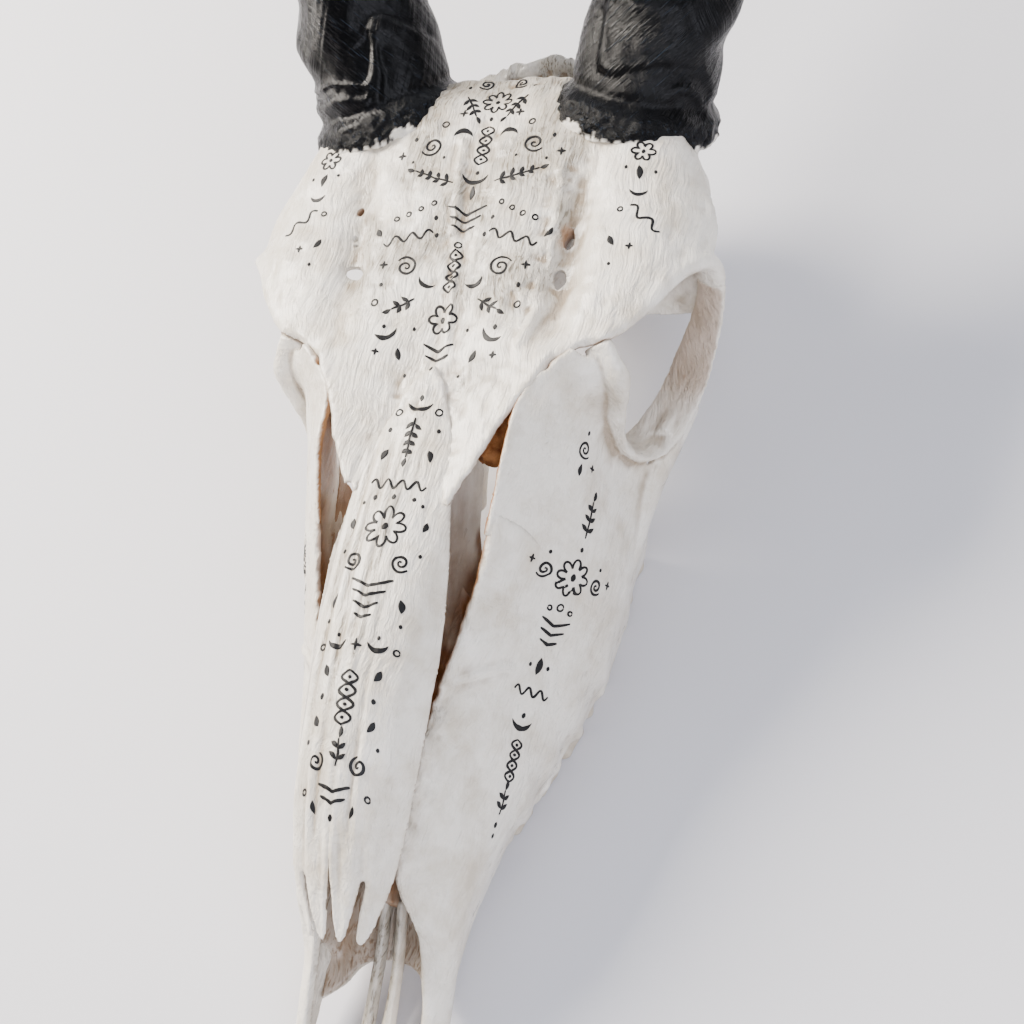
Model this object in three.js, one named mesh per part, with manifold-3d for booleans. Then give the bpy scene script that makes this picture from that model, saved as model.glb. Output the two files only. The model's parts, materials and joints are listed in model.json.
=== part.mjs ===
// Skull of a young female eland without the lower jaw, lying on its cheek teeth and on the two
// processes below the ear. +X is the animal's left, the snout points to -Y and +Z is up.
// Millimetres. Every bone is worked out in the skull's own frame first, where y = 0 is the snout tip,
// and the whole group is then shifted so that its origin is at the bottom centre of its box.
import * as THREE from 'three';
import { mergeVertices } from 'three/addons/utils/BufferGeometryUtils.js';
import Module from 'manifold-3d';

const wasm = await Module();
wasm.setup();
const { Manifold, Mesh: SolidMesh } = wasm;

// Driving dimensions
const GAP = 0.3; // space kept between neighbouring bones
const FLOOR = 8; // skull height at which teeth and processes touch the ground
const HORN_LENGTH = 620;
const HORN_BASE = [50, 371, 130]; // middle of the left horn's base
const HORN_RISE = 44; // degrees above the palate
const HORN_SPREAD = 19; // degrees outwards
const HORN_RADIUS = 27;
const HORN_TURNS = 2.1;
const KEEL_HEIGHT = 5.5;
const SKIN_LINE_DIP = 14; // how far the sheath's rim comes down over the forehead in front
const LEAN = 4; // the lower snout of this skull stands over to its left by this much
const TOOTH_LENGTHS = [15, 16.5, 17.5, 22.5, 26, 27]; // P2, P3, P4, M1, M2, M3
const TOOTH_WIDTHS = [12, 14.5, 16, 19, 20.5, 19];
const TOOTH_START = 131; // front of the tooth row
const TOOTH_SIDES = 12;

// Materials
const paintedBone = new THREE.MeshStandardMaterial({ color: '#eae6df', roughness: 0.42, metalness: 0 });
const rawBone = new THREE.MeshStandardMaterial({ color: '#9a6f42', roughness: 0.8, metalness: 0 });
const paintedHorn = new THREE.MeshStandardMaterial({ color: '#15171a', roughness: 0.35, metalness: 0 });

// Nets of surface points. A row runs from the midline or upper edge outwards, the rows run backwards.
const FOREHEAD = [
  [[0, 247, 118], [9, 237, 117], [17.3, 207, 114.3], [36, 243, 123.5]],
  [[0, 262, 121.5], [12, 258, 122], [25, 252, 123.5], [40, 258, 126]],
  [[0, 284, 128.3], [13, 283, 129.5], [27, 282, 129.5], [42, 284, 128.5]],
  [[0, 310, 134.5], [14, 310, 136], [28, 311, 135], [43, 312, 134]],
  [[0, 338, 139], [14, 338, 140.5], [28, 340, 141], [45, 342, 140]],
  [[0, 360, 142], [14, 361, 143.5], [28, 363, 143], [46, 364, 140]],
  [[0, 378, 140.5], [14, 379, 141], [28, 380, 138], [46, 380, 132]],
];
const BROW = [
  [[33, 247, 122.6], [43, 256, 124.5], [51, 262, 126], [58, 267, 127]],
  [[39, 272, 127.6], [50, 274, 128.6], [61, 277, 129], [71, 283, 127.5]],
  [[41, 296, 131], [55, 297, 132.4], [69, 297, 131], [82, 299, 125.5]],
  [[43, 318, 135], [58, 318, 136], [73, 317, 132], [88, 312, 119.5]],
  [[44, 338, 139.5], [59, 337, 139.5], [72, 334, 135], [85, 328, 123.5]],
  [[44, 358, 142], [60, 355, 141], [70, 352, 136], [76, 350, 127]],
];
const NASAL = [
  [[0.2, 247, 117.6], [3, 246, 117.4], [6, 243.5, 117], [8.5, 240, 116]],
  [[0.2, 229, 116], [5, 229, 115.8], [10, 227, 114.6], [14.5, 223, 112.5]],
  [[0.2, 208, 113.2], [6, 208, 113], [12, 207, 111.5], [17.2, 205, 108.8]],
  [[0.2, 185, 110.8], [7, 185, 110.3], [14, 185, 107.3], [20, 185, 102.5]],
  [[0.2, 165, 107.5], [7.5, 165, 106.7], [15, 164, 102.5], [20.5, 163, 93.5]],
  [[0.2, 146, 102.5], [7.5, 146, 101.5], [15, 145.5, 96.5], [19.8, 145, 86.5]],
  [[0.2, 126, 95.4], [7.5, 126, 94.3], [14.5, 125, 89], [19, 124, 79]],
  [[0.2, 108, 87], [7, 107, 85.5], [13.5, 106, 80], [17.6, 105, 71]],
  [[1.2, 91, 75.5], [6.5, 90.5, 73.5], [11.5, 90, 70], [15.4, 91, 65]],
];
// Side of the face, upper edge to tooth row, from the snout's tip to the front of the eye socket
const CHEEK = [
  [[3.3, 3, 14], [5.5, 2.5, 14], [8, 2.5, 13.5], [10.5, 3.5, 12.8], [13, 6, 11.5]],
  [[8, 14, 16.5], [10.5, 12.5, 16], [14, 11.5, 14.8], [17.5, 12, 13.2], [20, 14, 11]],
  [[16, 29, 19], [18.5, 28.5, 18.5], [21.5, 28, 17], [24, 28, 14.8], [25.2, 29, 12]],
  [[19.5, 46, 23.5], [22.3, 45.5, 22.5], [24.4, 45.5, 20.5], [25.4, 45.5, 17.5], [24.6, 46, 13.5]],
  [[20.5, 62, 31], [23.6, 61.5, 29], [25.6, 61.5, 25.5], [26.2, 61.5, 21], [24.4, 61.5, 15]],
  [[19, 80, 44], [23, 77, 38], [26, 75, 32], [26.6, 74, 25.5], [24.2, 73, 17.5]],
  [[17.3, 92, 62.5], [23, 88, 53], [27, 85, 41], [27.4, 83, 30], [24, 82, 20]],
  [[18, 111, 73], [25.5, 108, 62], [30.4, 106, 48], [30.4, 105, 34], [26.6, 104, 21.5]],
  [[19.6, 130, 79.5], [29.5, 130, 67], [35.4, 129, 51], [36.4, 129, 36], [33.3, 129, 22]],
  [[20.6, 145, 83], [33, 148, 71], [40, 149, 54], [42.6, 150, 37], [41.2, 150, 22]],
  [[27, 172, 93], [38, 173, 77], [47, 174, 58], [51.5, 175, 40], [50, 175, 22]],
  [[31.5, 196, 104], [43, 197, 85], [53, 198, 64], [57.5, 199, 43], [54.5, 199, 23]],
  [[35, 221, 117.5], [47, 222, 97], [57.5, 223, 71], [61.5, 223, 46], [56.5, 223, 24.5]],
  [[37, 243, 122.5], [51, 248, 112], [57, 248, 80], [63.5, 248, 55], [57.5, 246, 27]],
  [[51, 260, 125.4], [60, 259, 113], [56.8, 254.5, 86], [65, 258, 64], [60, 262, 38]],
];
const SUTURE_ROW = 6; // row of the cheek where the snout bone meets the upper jaw
const JAW_END_ROW = 11.2; // where the upper jaw meets the cheek bone
const JAW_TOP = 3.0; // column above which the cheek bone begins behind that row

// Rim of the left eye socket, from its front upper corner over the brow, down the bar and back up
const RIM = [
  [56, 267.5, 123.5], [62.5, 275.5, 123.5], [68.5, 283.5, 124], [73.3, 292.5, 124], [78.5, 301, 122.5],
  [83.2, 307, 118.5], [85.2, 308.5, 111], [84.8, 305, 101.5], [82.5, 299, 91.5], [79.5, 291.5, 82.5],
  [75.5, 283, 74.5], [71, 274, 69.5], [66, 265.5, 68], [61.5, 258.5, 71.5], [58, 255, 79.5],
  [56.8, 255, 88.5], [58.2, 257, 98], [60, 260, 108.5], [58.8, 263, 117.5],
];
const RIM_SPLIT = 6.5; // point of the rim where the brow's process meets the bar from below
const RIM_THICK = 3.3;
const RIM_DEEP = 6.5;

const lerp = (a, b, t) => a + (b - a) * t;
const add = (a, b, k = 1) => [a[0] + b[0] * k, a[1] + b[1] * k, a[2] + b[2] * k];
const minus = (a, b) => add(a, b, -1);
const dot = (a, b) => a[0] * b[0] + a[1] * b[1] + a[2] * b[2];
const cross = (a, b) => [a[1] * b[2] - a[2] * b[1], a[2] * b[0] - a[0] * b[2], a[0] * b[1] - a[1] * b[0]];
const unit = (a) => add([0, 0, 0], a, 1 / (Math.hypot(...a) || 1));
const mirrored = (p) => [-p[0], p[1], p[2]];
const clamp = (v, low, high) => Math.min(high, Math.max(low, v));
const fade = THREE.MathUtils.smoothstep;

// Point at parameter t of a smooth curve through the points (Catmull-Rom, ends continued straight)
function curvePoint(points, t, closed = false) {
  const n = points.length;
  const last = closed ? n : n - 1;
  const i = closed ? Math.floor(t) : clamp(Math.floor(t), 0, last - 1);
  const f = t - i;
  const at = (k) => {
    if (closed) return points[((k % n) + n) % n];
    if (k < 0) return points[0].map((c, j) => 2 * c - points[1][j]);
    if (k > n - 1) return points[n - 1].map((c, j) => 2 * c - points[n - 2][j]);
    return points[k];
  };
  const [a, b, c, d] = [at(i - 1), at(i), at(i + 1), at(i + 2)];
  return b.map((_, j) => 0.5 * (2 * b[j] + (c[j] - a[j]) * f
    + (2 * a[j] - 5 * b[j] + 4 * c[j] - d[j]) * f * f + (3 * b[j] - a[j] - 3 * c[j] + d[j]) * f * f * f));
}

// Point (u, v) of the smooth surface through a net, u along the rows and v across them
function netPoint(net, u, v) {
  return curvePoint(net.map((row) => curvePoint(row, v)), u);
}

// Closed solid from a grid of points on its outer and its inner face, rows by columns
function closeGrid(outer, inner) {
  const rows = outer.length;
  const cols = outer[0].length;
  const positions = [...outer.flat(), ...inner.flat()].map(lean).flat();
  const index = [];
  const o = (i, j) => i * cols + j;
  const n = (i, j) => rows * cols + i * cols + j;
  const quad = (a, b, c, d) => index.push(a, b, c, a, c, d);
  for (let i = 0; i < rows - 1; i++) {
    for (let j = 0; j < cols - 1; j++) {
      quad(o(i, j), o(i + 1, j), o(i + 1, j + 1), o(i, j + 1));
      quad(n(i, j), n(i, j + 1), n(i + 1, j + 1), n(i + 1, j));
    }
  }
  for (let i = 0; i < rows - 1; i++) {
    quad(o(i, 0), n(i, 0), n(i + 1, 0), o(i + 1, 0));
    quad(o(i, cols - 1), o(i + 1, cols - 1), n(i + 1, cols - 1), n(i, cols - 1));
  }
  for (let j = 0; j < cols - 1; j++) {
    quad(o(0, j), o(0, j + 1), n(0, j + 1), n(0, j));
    quad(o(rows - 1, j), n(rows - 1, j), n(rows - 1, j + 1), o(rows - 1, j + 1));
  }
  return solidOf(positions, index);
}

// Closed tube from rings of points, all with the same number, first and last ring capped flat
function closeRings(rings) {
  const sides = rings[0].length;
  const positions = rings.flat();
  const index = [];
  const middle = (ring) => ring.reduce((s, p) => add(s, p, 1 / ring.length), [0, 0, 0]);
  positions.push(middle(rings[0]), middle(rings[rings.length - 1]));
  const first = rings.length * sides;
  for (let i = 0; i < rings.length - 1; i++) {
    for (let j = 0; j < sides; j++) {
      const k = (j + 1) % sides;
      const [a, b, c, d] = [i * sides + j, i * sides + k, (i + 1) * sides + k, (i + 1) * sides + j];
      index.push(a, b, c, a, c, d);
    }
  }
  for (let j = 0; j < sides; j++) {
    const k = (j + 1) % sides;
    index.push(first, k, j, first + 1, (rings.length - 1) * sides + j, (rings.length - 1) * sides + k);
  }
  return solidOf(positions.map(lean).flat(), index);
}

// The lower part of the snout leans to the animal's left, fully at its tip and fading out backwards
function lean([x, y, z]) {
  return [x + LEAN * (1 - fade(y, 75, 185)) * (1 - fade(z, 38, 72)), y, z];
}

// Manifold solid of a closed triangle mesh, turned the right way out
function solidOf(positions, index) {
  let geometry = new THREE.BufferGeometry();
  geometry.setAttribute('position', new THREE.Float32BufferAttribute(positions, 3));
  geometry.setIndex(index);
  geometry = mergeVertices(geometry, 1e-4);
  const p = geometry.attributes.position.array;
  const t = Array.from(geometry.index.array);
  const kept = [];
  let volume = 0;
  for (let i = 0; i < t.length; i += 3) {
    const [a, b, c] = [t[i], t[i + 1], t[i + 2]];
    if (a === b || b === c || a === c) continue;
    kept.push(a, b, c);
    const [A, B, C] = [a, b, c].map((k) => [p[3 * k], p[3 * k + 1], p[3 * k + 2]]);
    volume += dot(A, cross(B, C));
  }
  if (volume < 0) kept.reverse();
  const vertProperties = new Float32Array(p);
  return new Manifold(new SolidMesh({ numProp: 3, vertProperties, triVerts: new Uint32Array(kept) }));
}

// Solid of a three.js geometry moved to a place
function geometrySolid(geometry, place) {
  const moved = geometry.clone();
  moved.translate(...place);
  moved.deleteAttribute('normal');
  moved.deleteAttribute('uv');
  const merged = mergeVertices(moved, 1e-4);
  return solidOf(Array.from(merged.attributes.position.array), Array.from(merged.index.array));
}

const unite = (pieces) => pieces.reduce((all, piece) => all.add(piece));
const cut = (solid, cutters) => cutters.reduce((left, cutter) => left.subtract(cutter), solid);

function largest(solid) {
  return solid.decompose().sort((a, b) => b.volume() - a.volume())[0];
}

// Plate of bone: part [u0, u1] x [v0, v1] of a net's surface with its wall below it.
// grow makes it larger on all sides, for cutting a neighbour clear of it. side is 1 or -1.
function plate(net, [u0, u1], [v0, v1], [nu, nv], wall, { side = 1, grow = 0, shape = null } = {}) {
  const outer = [];
  const inner = [];
  const step = 0.02;
  for (let i = 0; i <= nu; i++) {
    const outerRow = [];
    const innerRow = [];
    for (let j = 0; j <= nv; j++) {
      const u = lerp(u0, u1, i / nu);
      const v = lerp(v0, v1, j / nv);
      let p = netPoint(net, u, v);
      const du = unit(minus(netPoint(net, u + step, v), netPoint(net, u - step, v)));
      const dv = unit(minus(netPoint(net, u, v + step), netPoint(net, u, v - step)));
      const normal = unit(cross(dv, du));
      if (shape) p = shape(p, u, v);
      if (i === 0) p = add(p, du, -grow);
      if (i === nu) p = add(p, du, grow);
      if (j === 0) p = add(p, dv, -grow);
      if (j === nv) p = add(p, dv, grow);
      const thick = typeof wall === 'function' ? wall(u, v) : wall;
      const top = add(p, normal, grow);
      const bottom = add(p, normal, -thick - grow);
      outerRow.push(side < 0 ? mirrored(top) : top);
      innerRow.push(side < 0 ? mirrored(bottom) : bottom);
    }
    outer.push(outerRow);
    inner.push(innerRow);
  }
  return closeGrid(outer, inner);
}

// Bar of elliptical section along a curve; size(t) gives [half across, half deep], across is the
// direction that the section's first size runs in
function bar(points, [t0, t1], steps, sides, size, across, { side = 1, grow = 0, closed = false } = {}) {
  const rings = [];
  for (let i = 0; i <= steps; i++) {
    const t = lerp(t0, t1, i / steps);
    const along = unit(minus(curvePoint(points, t + 0.02, closed), curvePoint(points, t - 0.02, closed)));
    let centre = curvePoint(points, t, closed);
    if (i === 0) centre = add(centre, along, -grow);
    if (i === steps) centre = add(centre, along, grow);
    const want = typeof across === 'function' ? across(centre) : across;
    const deep = unit(cross(along, want));
    const wide = unit(cross(deep, along));
    const [a, b] = size(t);
    const ring = [];
    for (let j = 0; j < sides; j++) {
      const angle = (2 * Math.PI * j) / sides;
      const p = add(add(centre, wide, (a + grow) * Math.cos(angle)), deep, (b + grow) * Math.sin(angle));
      ring.push(side < 0 ? mirrored(p) : p);
    }
    rings.push(ring);
  }
  return closeRings(rings);
}

function ellipsoid(centre, radii, side = 1, grow = 0, detail = 14) {
  const ball = new THREE.SphereGeometry(1, detail, Math.round(detail * 0.6));
  ball.scale(radii[0] + grow, radii[1] + grow, radii[2] + grow);
  return geometrySolid(ball, side < 0 ? mirrored(centre) : centre);
}

function box(low, high) {
  const size = minus(high, low);
  return geometrySolid(new THREE.BoxGeometry(...size), add(low, size, 0.5));
}

// Horn sheath: an oval that tapers to the tip along a straight axis, with a keel that winds round it
const hornAxis = (() => {
  const rise = THREE.MathUtils.degToRad(HORN_RISE);
  const spread = THREE.MathUtils.degToRad(HORN_SPREAD);
  return [Math.cos(rise) * Math.sin(spread), Math.cos(rise) * Math.cos(spread), Math.sin(rise)];
})();
const RIM_FRONT = [0.1, -0.75, 0.66]; // side on which the sheath reaches furthest down
const KEEL_START = [-0.446, -0.675, 0.588]; // direction in which the keel leaves the skull
function hornRadius(s) {
  return HORN_RADIUS * Math.pow(Math.max(1 - s, 0), 0.82) + 2.4 * (1 - s) * Math.exp(-s * 26);
}
function keelTurn(s) {
  return HORN_TURNS * 2 * Math.PI * (1 - Math.pow(1 - s, 2.2));
}
function horn(side, { from = 0, to = 1, grow = 0, stations = 29, sides = 16 } = {}) {
  const forward = unit(minus(KEEL_START, add([0, 0, 0], hornAxis, dot(KEEL_START, hornAxis))));
  const sideways = cross(hornAxis, forward);
  const rimFront = unit(minus(RIM_FRONT, add([0, 0, 0], hornAxis, dot(RIM_FRONT, hornAxis))));
  const rings = [];
  for (let i = 0; i <= stations; i++) {
    const s = lerp(from, to, i / stations);
    const centre = add(HORN_BASE, hornAxis, s * HORN_LENGTH + (i === 0 ? -grow : 0));
    const dip = SKIN_LINE_DIP * Math.pow(Math.max(0, 1 - s * 9), 1.5);
    const radius = Math.max(hornRadius(s), 1.4) + grow;
    const ring = [];
    for (let j = 0; j < sides; j++) {
      const angle = (2 * Math.PI * j) / sides;
      const off = Math.atan2(Math.sin(angle - keelTurn(s)), Math.cos(angle - keelTurn(s)));
      const height = KEEL_HEIGHT * Math.pow(1 - s, 0.7) * fade(s, 0, 0.1);
      const keel = height * Math.exp(-((off / 0.42) ** 2));
      const r = radius + keel;
      const rim = add(add([0, 0, 0], forward, r * Math.cos(angle)), sideways, r * Math.sin(angle));
      const p = add(add(centre, rim), hornAxis, -dip * (0.45 + 0.55 * dot(unit(rim), rimFront)));
      ring.push(side < 0 ? mirrored(p) : p);
    }
    rings.push(ring);
  }
  return closeRings(rings);
}

// Nasal bone with two prongs in front, between which it is notched
const nasalWall = (u) => lerp(3.2, 2.4, clamp(u / 8, 0, 1));
function nasal(side, grow = 0) {
  const sheet = plate(NASAL, [0, 8], [0, 3], [15, 5], nasalWall, { side, grow });
  const prongSize = (t) => [lerp(3.1, 0.9, t / 2), lerp(1.5, 0.7, t / 2)];
  const inner = [[4.6, 94, 74.5], [4.6, 84, 68.5], [4.2, 73, 60.6]];
  const outer = [[13.2, 95, 69], [12.6, 84, 63.5], [10.4, 74, 58]];
  const prongs = [inner, outer].map((line) => bar(line, [0, 2], 5, 8, prongSize, [1, 0, 0], { side, grow }));
  return unite([sheet, ...prongs]);
}

const socketCentre = RIM.reduce((s, p) => add(s, p, 1 / RIM.length), [0, 0, 0]);
const rimOut = (p) => minus(p, socketCentre);
function rim(t0, t1, steps, side, grow) {
  return bar(RIM, [t0, t1], steps, 8, () => [RIM_THICK, RIM_DEEP], rimOut, { side, grow, closed: true });
}

// Frontal bone: forehead, roofs of the sockets and the bases that carry the horns
function frontalHalf(side, grow = 0) {
  const foreheadWall = (u) => lerp(2.6, 9, clamp(u / 2.5, 0, 1));
  const forehead = plate(FOREHEAD, [0, 6], [-0.1, 3.2], [8, 5], foreheadWall, { side, grow });
  const browWall = (u, v) => lerp(lerp(2.6, 8, clamp(u / 1.5, 0, 1)), 5, v / 3);
  const brow = plate(BROW, [0, 5], [-0.3, 3], [7, 4], browWall, { side, grow });
  const roofRim = rim(-0.35, RIM_SPLIT, 9, side, grow);
  const inside = add(HORN_BASE, hornAxis, -46);
  const core = [inside, add(HORN_BASE, hornAxis, -18), add(HORN_BASE, hornAxis, 6)];
  const coreSize = (t) => {
    const radius = lerp(18, 26.5, Math.min(t / 1.4, 1));
    return [radius, radius];
  };
  const pedicle = bar(core, [0, 2], 4, 12, coreSize, [1, 0, 0], { side, grow });
  const shoulder = ellipsoid([57, 333, 120], [25, 26, 16], side, grow, 12);
  return unite([forehead, brow, roofRim, pedicle, shoulder]);
}

// Solid core of the forehead between the horns, above the brain
function frontalCore(grow = 0) {
  const line = [[0, 285, 118], [0, 312, 121], [0, 345, 124], [0, 374, 124]];
  const size = (t) => [lerp(30, 46, t / 3), lerp(9, 15, t / 3)];
  return bar(line, [0, 3], 5, 14, size, [1, 0, 0], { grow });
}

// Braincase: rounded box that narrows forwards, with occiput, condyles, bullae and processes
const CASE = [ // y, half width, bottom, top
  [262, 12, 62, 112], [284, 17, 58, 120], [306, 24, 54, 126], [330, 36, 49, 131], [356, 46, 46, 135],
  [378, 50, 45, 133], [396, 48, 46, 122], [412, 41, 50, 109], [420, 27, 58, 96],
];
function braincase() {
  const rings = CASE.map(([y, half, low, high]) => {
    const ring = [];
    for (let j = 0; j < 18; j++) {
      const angle = (2 * Math.PI * j) / 18;
      const [c, s] = [Math.cos(angle), Math.sin(angle)];
      const wide = half * Math.sign(c) * Math.pow(Math.abs(c), 0.8);
      const tall = ((high - low) / 2) * Math.sign(s) * Math.pow(Math.abs(s), 0.85);
      ring.push([wide, y, (low + high) / 2 + tall]);
    }
    return ring;
  });
  const parts = [closeRings(rings)];
  const halfCrest = [[47, 396, 88], [41, 408, 99], [22, 416, 107]];
  const crest = [...halfCrest.map(mirrored), [0, 419, 110], ...halfCrest.reverse()];
  parts.push(bar(crest, [0, 6], 12, 8, () => [5, 5.5], [0, 1, 0]));
  for (const side of [1, -1]) {
    const condyle = ellipsoid([17, 421, 62], [12, 15, 17], side, 0, 12);
    const bulla = ellipsoid([24, 384, 42], [11, 16, 14], side, 0, 10);
    parts.push(condyle, bulla);
    const process = [[41, 398, 70], [42.5, 402, 46], [41.5, 404, 26], [39, 402, FLOOR - 4]];
    const processSize = (t) => [lerp(5.5, 2.8, t / 3), lerp(15, 5.5, t / 3)];
    parts.push(bar(process, [0, 3], 7, 8, processSize, [1, 0, 0], { side }));
    const wing = [[10, 283, 48], [12.5, 270, 36], [13, 262, 24]];
    parts.push(bar(wing, [0, 2], 5, 8, (t) => [1.8, lerp(12, 4, t / 2)], [1, 0, 0], { side }));
    const ridge = [[40, 372, 72], [52, 366, 70], [60, 356, 69], [65, 344, 68]];
    parts.push(bar(ridge, [0, 3], 6, 8, (t) => [lerp(12, 5, t / 3), lerp(7, 4, t / 3)], [0, 1, 0], { side }));
  }
  const base = [[0, 290, 62], [0, 330, 56], [0, 370, 50], [0, 415, 48]];
  parts.push(bar(base, [0, 3], 6, 10, () => [15, 7], [1, 0, 0]));
  const foramen = bar([[0, 445, 76], [0, 392, 80]], [0, 1], 2, 12, () => [12, 11], [1, 0, 0]);
  return unite(parts).subtract(foramen);
}

// Cheek teeth of one side, each a prism with two outer lobes, its root sunk in the jaw
function gumPoint(y) {
  for (let u = 7; u < 13.9; u += 0.02) {
    const p = netPoint(CHEEK, u, 4);
    if (p[1] >= y) return p;
  }
  return netPoint(CHEEK, 14, 4);
}
function teeth(side) {
  const solids = [];
  let y = TOOTH_START;
  TOOTH_LENGTHS.forEach((long, k) => {
    const wide = TOOTH_WIDTHS[k];
    const middle = y + long / 2;
    const before = gumPoint(y);
    const after = gumPoint(y + long);
    const along = unit([after[0] - before[0], after[1] - before[1], 0]);
    const inward = [-along[1], along[0], 0];
    const edge = gumPoint(middle);
    const centre = add([edge[0], middle, 0], inward, wide / 2 + 4);
    const lobes = k < 3 ? 1 : 2;
    const low = FLOOR + (k < 3 ? 1.6 - k * 0.5 : 0);
    const rings = [34, edge[2] - 3, low + 2, low].map((z, level) => {
      const ring = [];
      const shrink = [0.62, 0.95, 1, 0.93][level];
      for (let j = 0; j < TOOTH_SIDES; j++) {
        const angle = (2 * Math.PI * j) / TOOTH_SIDES;
        const [c, s] = [Math.cos(angle), Math.sin(angle)];
        const l = (long / 2 - 0.15) * Math.sign(c) * Math.pow(Math.abs(c), 0.6) * shrink;
        const dip = 1 - 0.16 * (lobes - 1) * Math.exp(-((c / 0.3) ** 2));
        const w = (wide / 2) * Math.sign(s) * Math.pow(Math.abs(s), 0.7) * shrink * dip;
        const p = add(add([centre[0], centre[1], z], along, l), inward, w);
        ring.push(side < 0 ? mirrored(p) : p);
      }
      return ring;
    });
    solids.push(closeRings(rings));
    y += long;
  });
  return solids;
}

// Hard palate of one side, and the ledge of bone that holds the teeth
const PALATE = [
  [[0.15, 79, 17], [7, 79, 16.5], [13, 78, 16], [18, 75, 16], [23, 74, 17]],
  [[0.15, 104, 24], [8, 104, 23], [15, 104, 21.5], [20, 104, 20.5], [25, 104, 21]],
  [[0.15, 130, 28], [8, 130, 27.5], [16, 130, 26], [24, 130, 23.5], [31, 130, 22]],
  [[0.15, 165, 31], [9, 165, 30.5], [18, 165, 29], [28, 165, 25.5], [43, 165, 23]],
  [[0.15, 205, 32], [9, 205, 31.5], [18, 205, 30], [31, 205, 26.5], [49, 205, 24]],
  [[0.15, 232, 32], [9, 235, 31.5], [17, 244, 31], [33, 247, 28], [49, 247, 26]],
];
function maxilla(side) {
  const wall = (u, v) => 2.6 + 1.6 * clamp(v - 2, 0, 2);
  const front = plate(CHEEK, [SUTURE_ROW + 0.02, JAW_END_ROW], [0, 4], [11, 7], wall, { side });
  const rear = plate(CHEEK, [JAW_END_ROW - 1, 13.4], [JAW_TOP + 0.05, 4], [6, 2], 5, { side });
  const floor = plate(PALATE, [0.05, 5], [0, 4], [8, 4], -4, { side });
  const ledgeLine = [130, 165, 200, 235, 256].map((y) => {
    const p = gumPoint(Math.min(y, 246));
    return [p[0] - 12, y, 31];
  });
  const ledge = bar(ledgeLine, [0, 4], 8, 10, (t) => [lerp(9, 11.5, t / 4), 8.5], [1, 0, 0], { side });
  return unite([front, rear, floor, ledge, ...teeth(side)]);
}

// Snout bone: flat blade at the tip that stands up into a wall behind, with a rod along the midline
function premaxilla(side, grow = 0) {
  const blade = plate(CHEEK, [0, SUTURE_ROW - 0.02], [0, 4], [10, 6], () => 3.4, { side, grow });
  const rod = [[5.5, 8, 12.5], [4.2, 30, 13], [3.7, 55, 13.5], [3.6, 77.5, 14.5]];
  const rodSize = (t) => [lerp(3.2, 2.6, t / 3), lerp(2, 3.4, t / 3)];
  const spine = bar(rod, [0, 3], 6, 8, rodSize, [1, 0, 0], { side, grow });
  return unite([blade, spine]);
}

// Cheek and tear bone in one: the wall in front of the eye, the bar behind it, the arch and the
// ridge for the chewing muscle that runs from the arch down over the cheek
function zygomatic(side, grow = 0) {
  const wall = (u, v) => lerp(2.6, 4.5, clamp(v / 3, 0, 1));
  const face = plate(CHEEK, [JAW_END_ROW + 0.03, 14], [0, JAW_TOP], [6, 6], wall, { side, grow });
  const lowRim = rim(RIM_SPLIT + 0.03, RIM.length - 0.4, 16, side, grow);
  const archLine = [[69, 269, 67], [72.5, 286, 67.5], [73.2, 305, 68], [71, 325, 68.5], [65, 343, 68]];
  const arch = bar(archLine, [0, 4], 9, 8, () => [3.2, 5.5], [1, 0, 0], { side, grow });
  const ridgeLine = [
    [74.5, 284, 69], [71.8, 275, 65], [67.8, 264, 61], [63.5, 250, 55], [60.5, 236, 48], [57.5, 222, 42],
  ];
  const ridgeSize = (t) => [lerp(4.5, 3.2, t / 5), lerp(6.5, 5, t / 5)];
  const ridge = bar(ridgeLine, [0, 5], 9, 8, ridgeSize, [1, 0, 0], { side, grow });
  return unite([face, lowRim, arch, ridge]);
}

// Ethmoid scrolls at the back of the nose with the curled sheet that runs forwards from them
function ethmoid() {
  const parts = [ellipsoid([0, 247, 97], [25, 15.5, 17], 1, 0, 12)];
  for (const side of [1, -1]) {
    for (const [x, z, r] of [[8, 108, 5], [18, 103, 6], [21, 92, 5], [9, 88, 6]]) {
      const scroll = [[x, 248, z], [x * 0.98, 236, z - 1], [x * 0.94, 226, z - 2]];
      const scrollSize = (t) => [r * (1 - 0.2 * t), r * (1 - 0.2 * t)];
      parts.push(bar(scroll, [0, 2], 3, 6, scrollSize, [1, 0, 0], { side }));
    }
    const concha = [[12, 240, 98], [13, 222, 95], [13, 203, 92], [11, 184, 89]];
    const conchaSize = (t) => [lerp(3.2, 1.4, t / 3), lerp(9, 6, t / 3)];
    parts.push(bar(concha, [0, 3], 7, 8, conchaSize, [1, 0, 0.25], { side }));
  }
  return unite(parts);
}

// Vomer: a low trough of thin bone standing on the middle of the palate
function vomer() {
  const line = [[0, 96, 33.5], [0, 130, 37.5], [0, 170, 40.5], [0, 212, 41]];
  return bar(line, [0, 3], 8, 8, (t) => [2.2, lerp(4.5, 5.2, t / 3)], [1, 0, 0]);
}

const group = new THREE.Group();
function place(name, solid, material) {
  const { numProp, vertProperties, triVerts } = largest(solid).getMesh();
  const points = new Float32Array((vertProperties.length / numProp) * 3);
  for (let i = 0; i < points.length / 3; i++) {
    points.set(vertProperties.slice(i * numProp, i * numProp + 3), i * 3);
  }
  const geometry = new THREE.BufferGeometry();
  geometry.setAttribute('position', new THREE.BufferAttribute(points, 3));
  geometry.setIndex(Array.from(triVerts));
  geometry.computeVertexNormals();
  const mesh = new THREE.Mesh(geometry, material);
  mesh.name = name;
  group.add(mesh);
}

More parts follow.
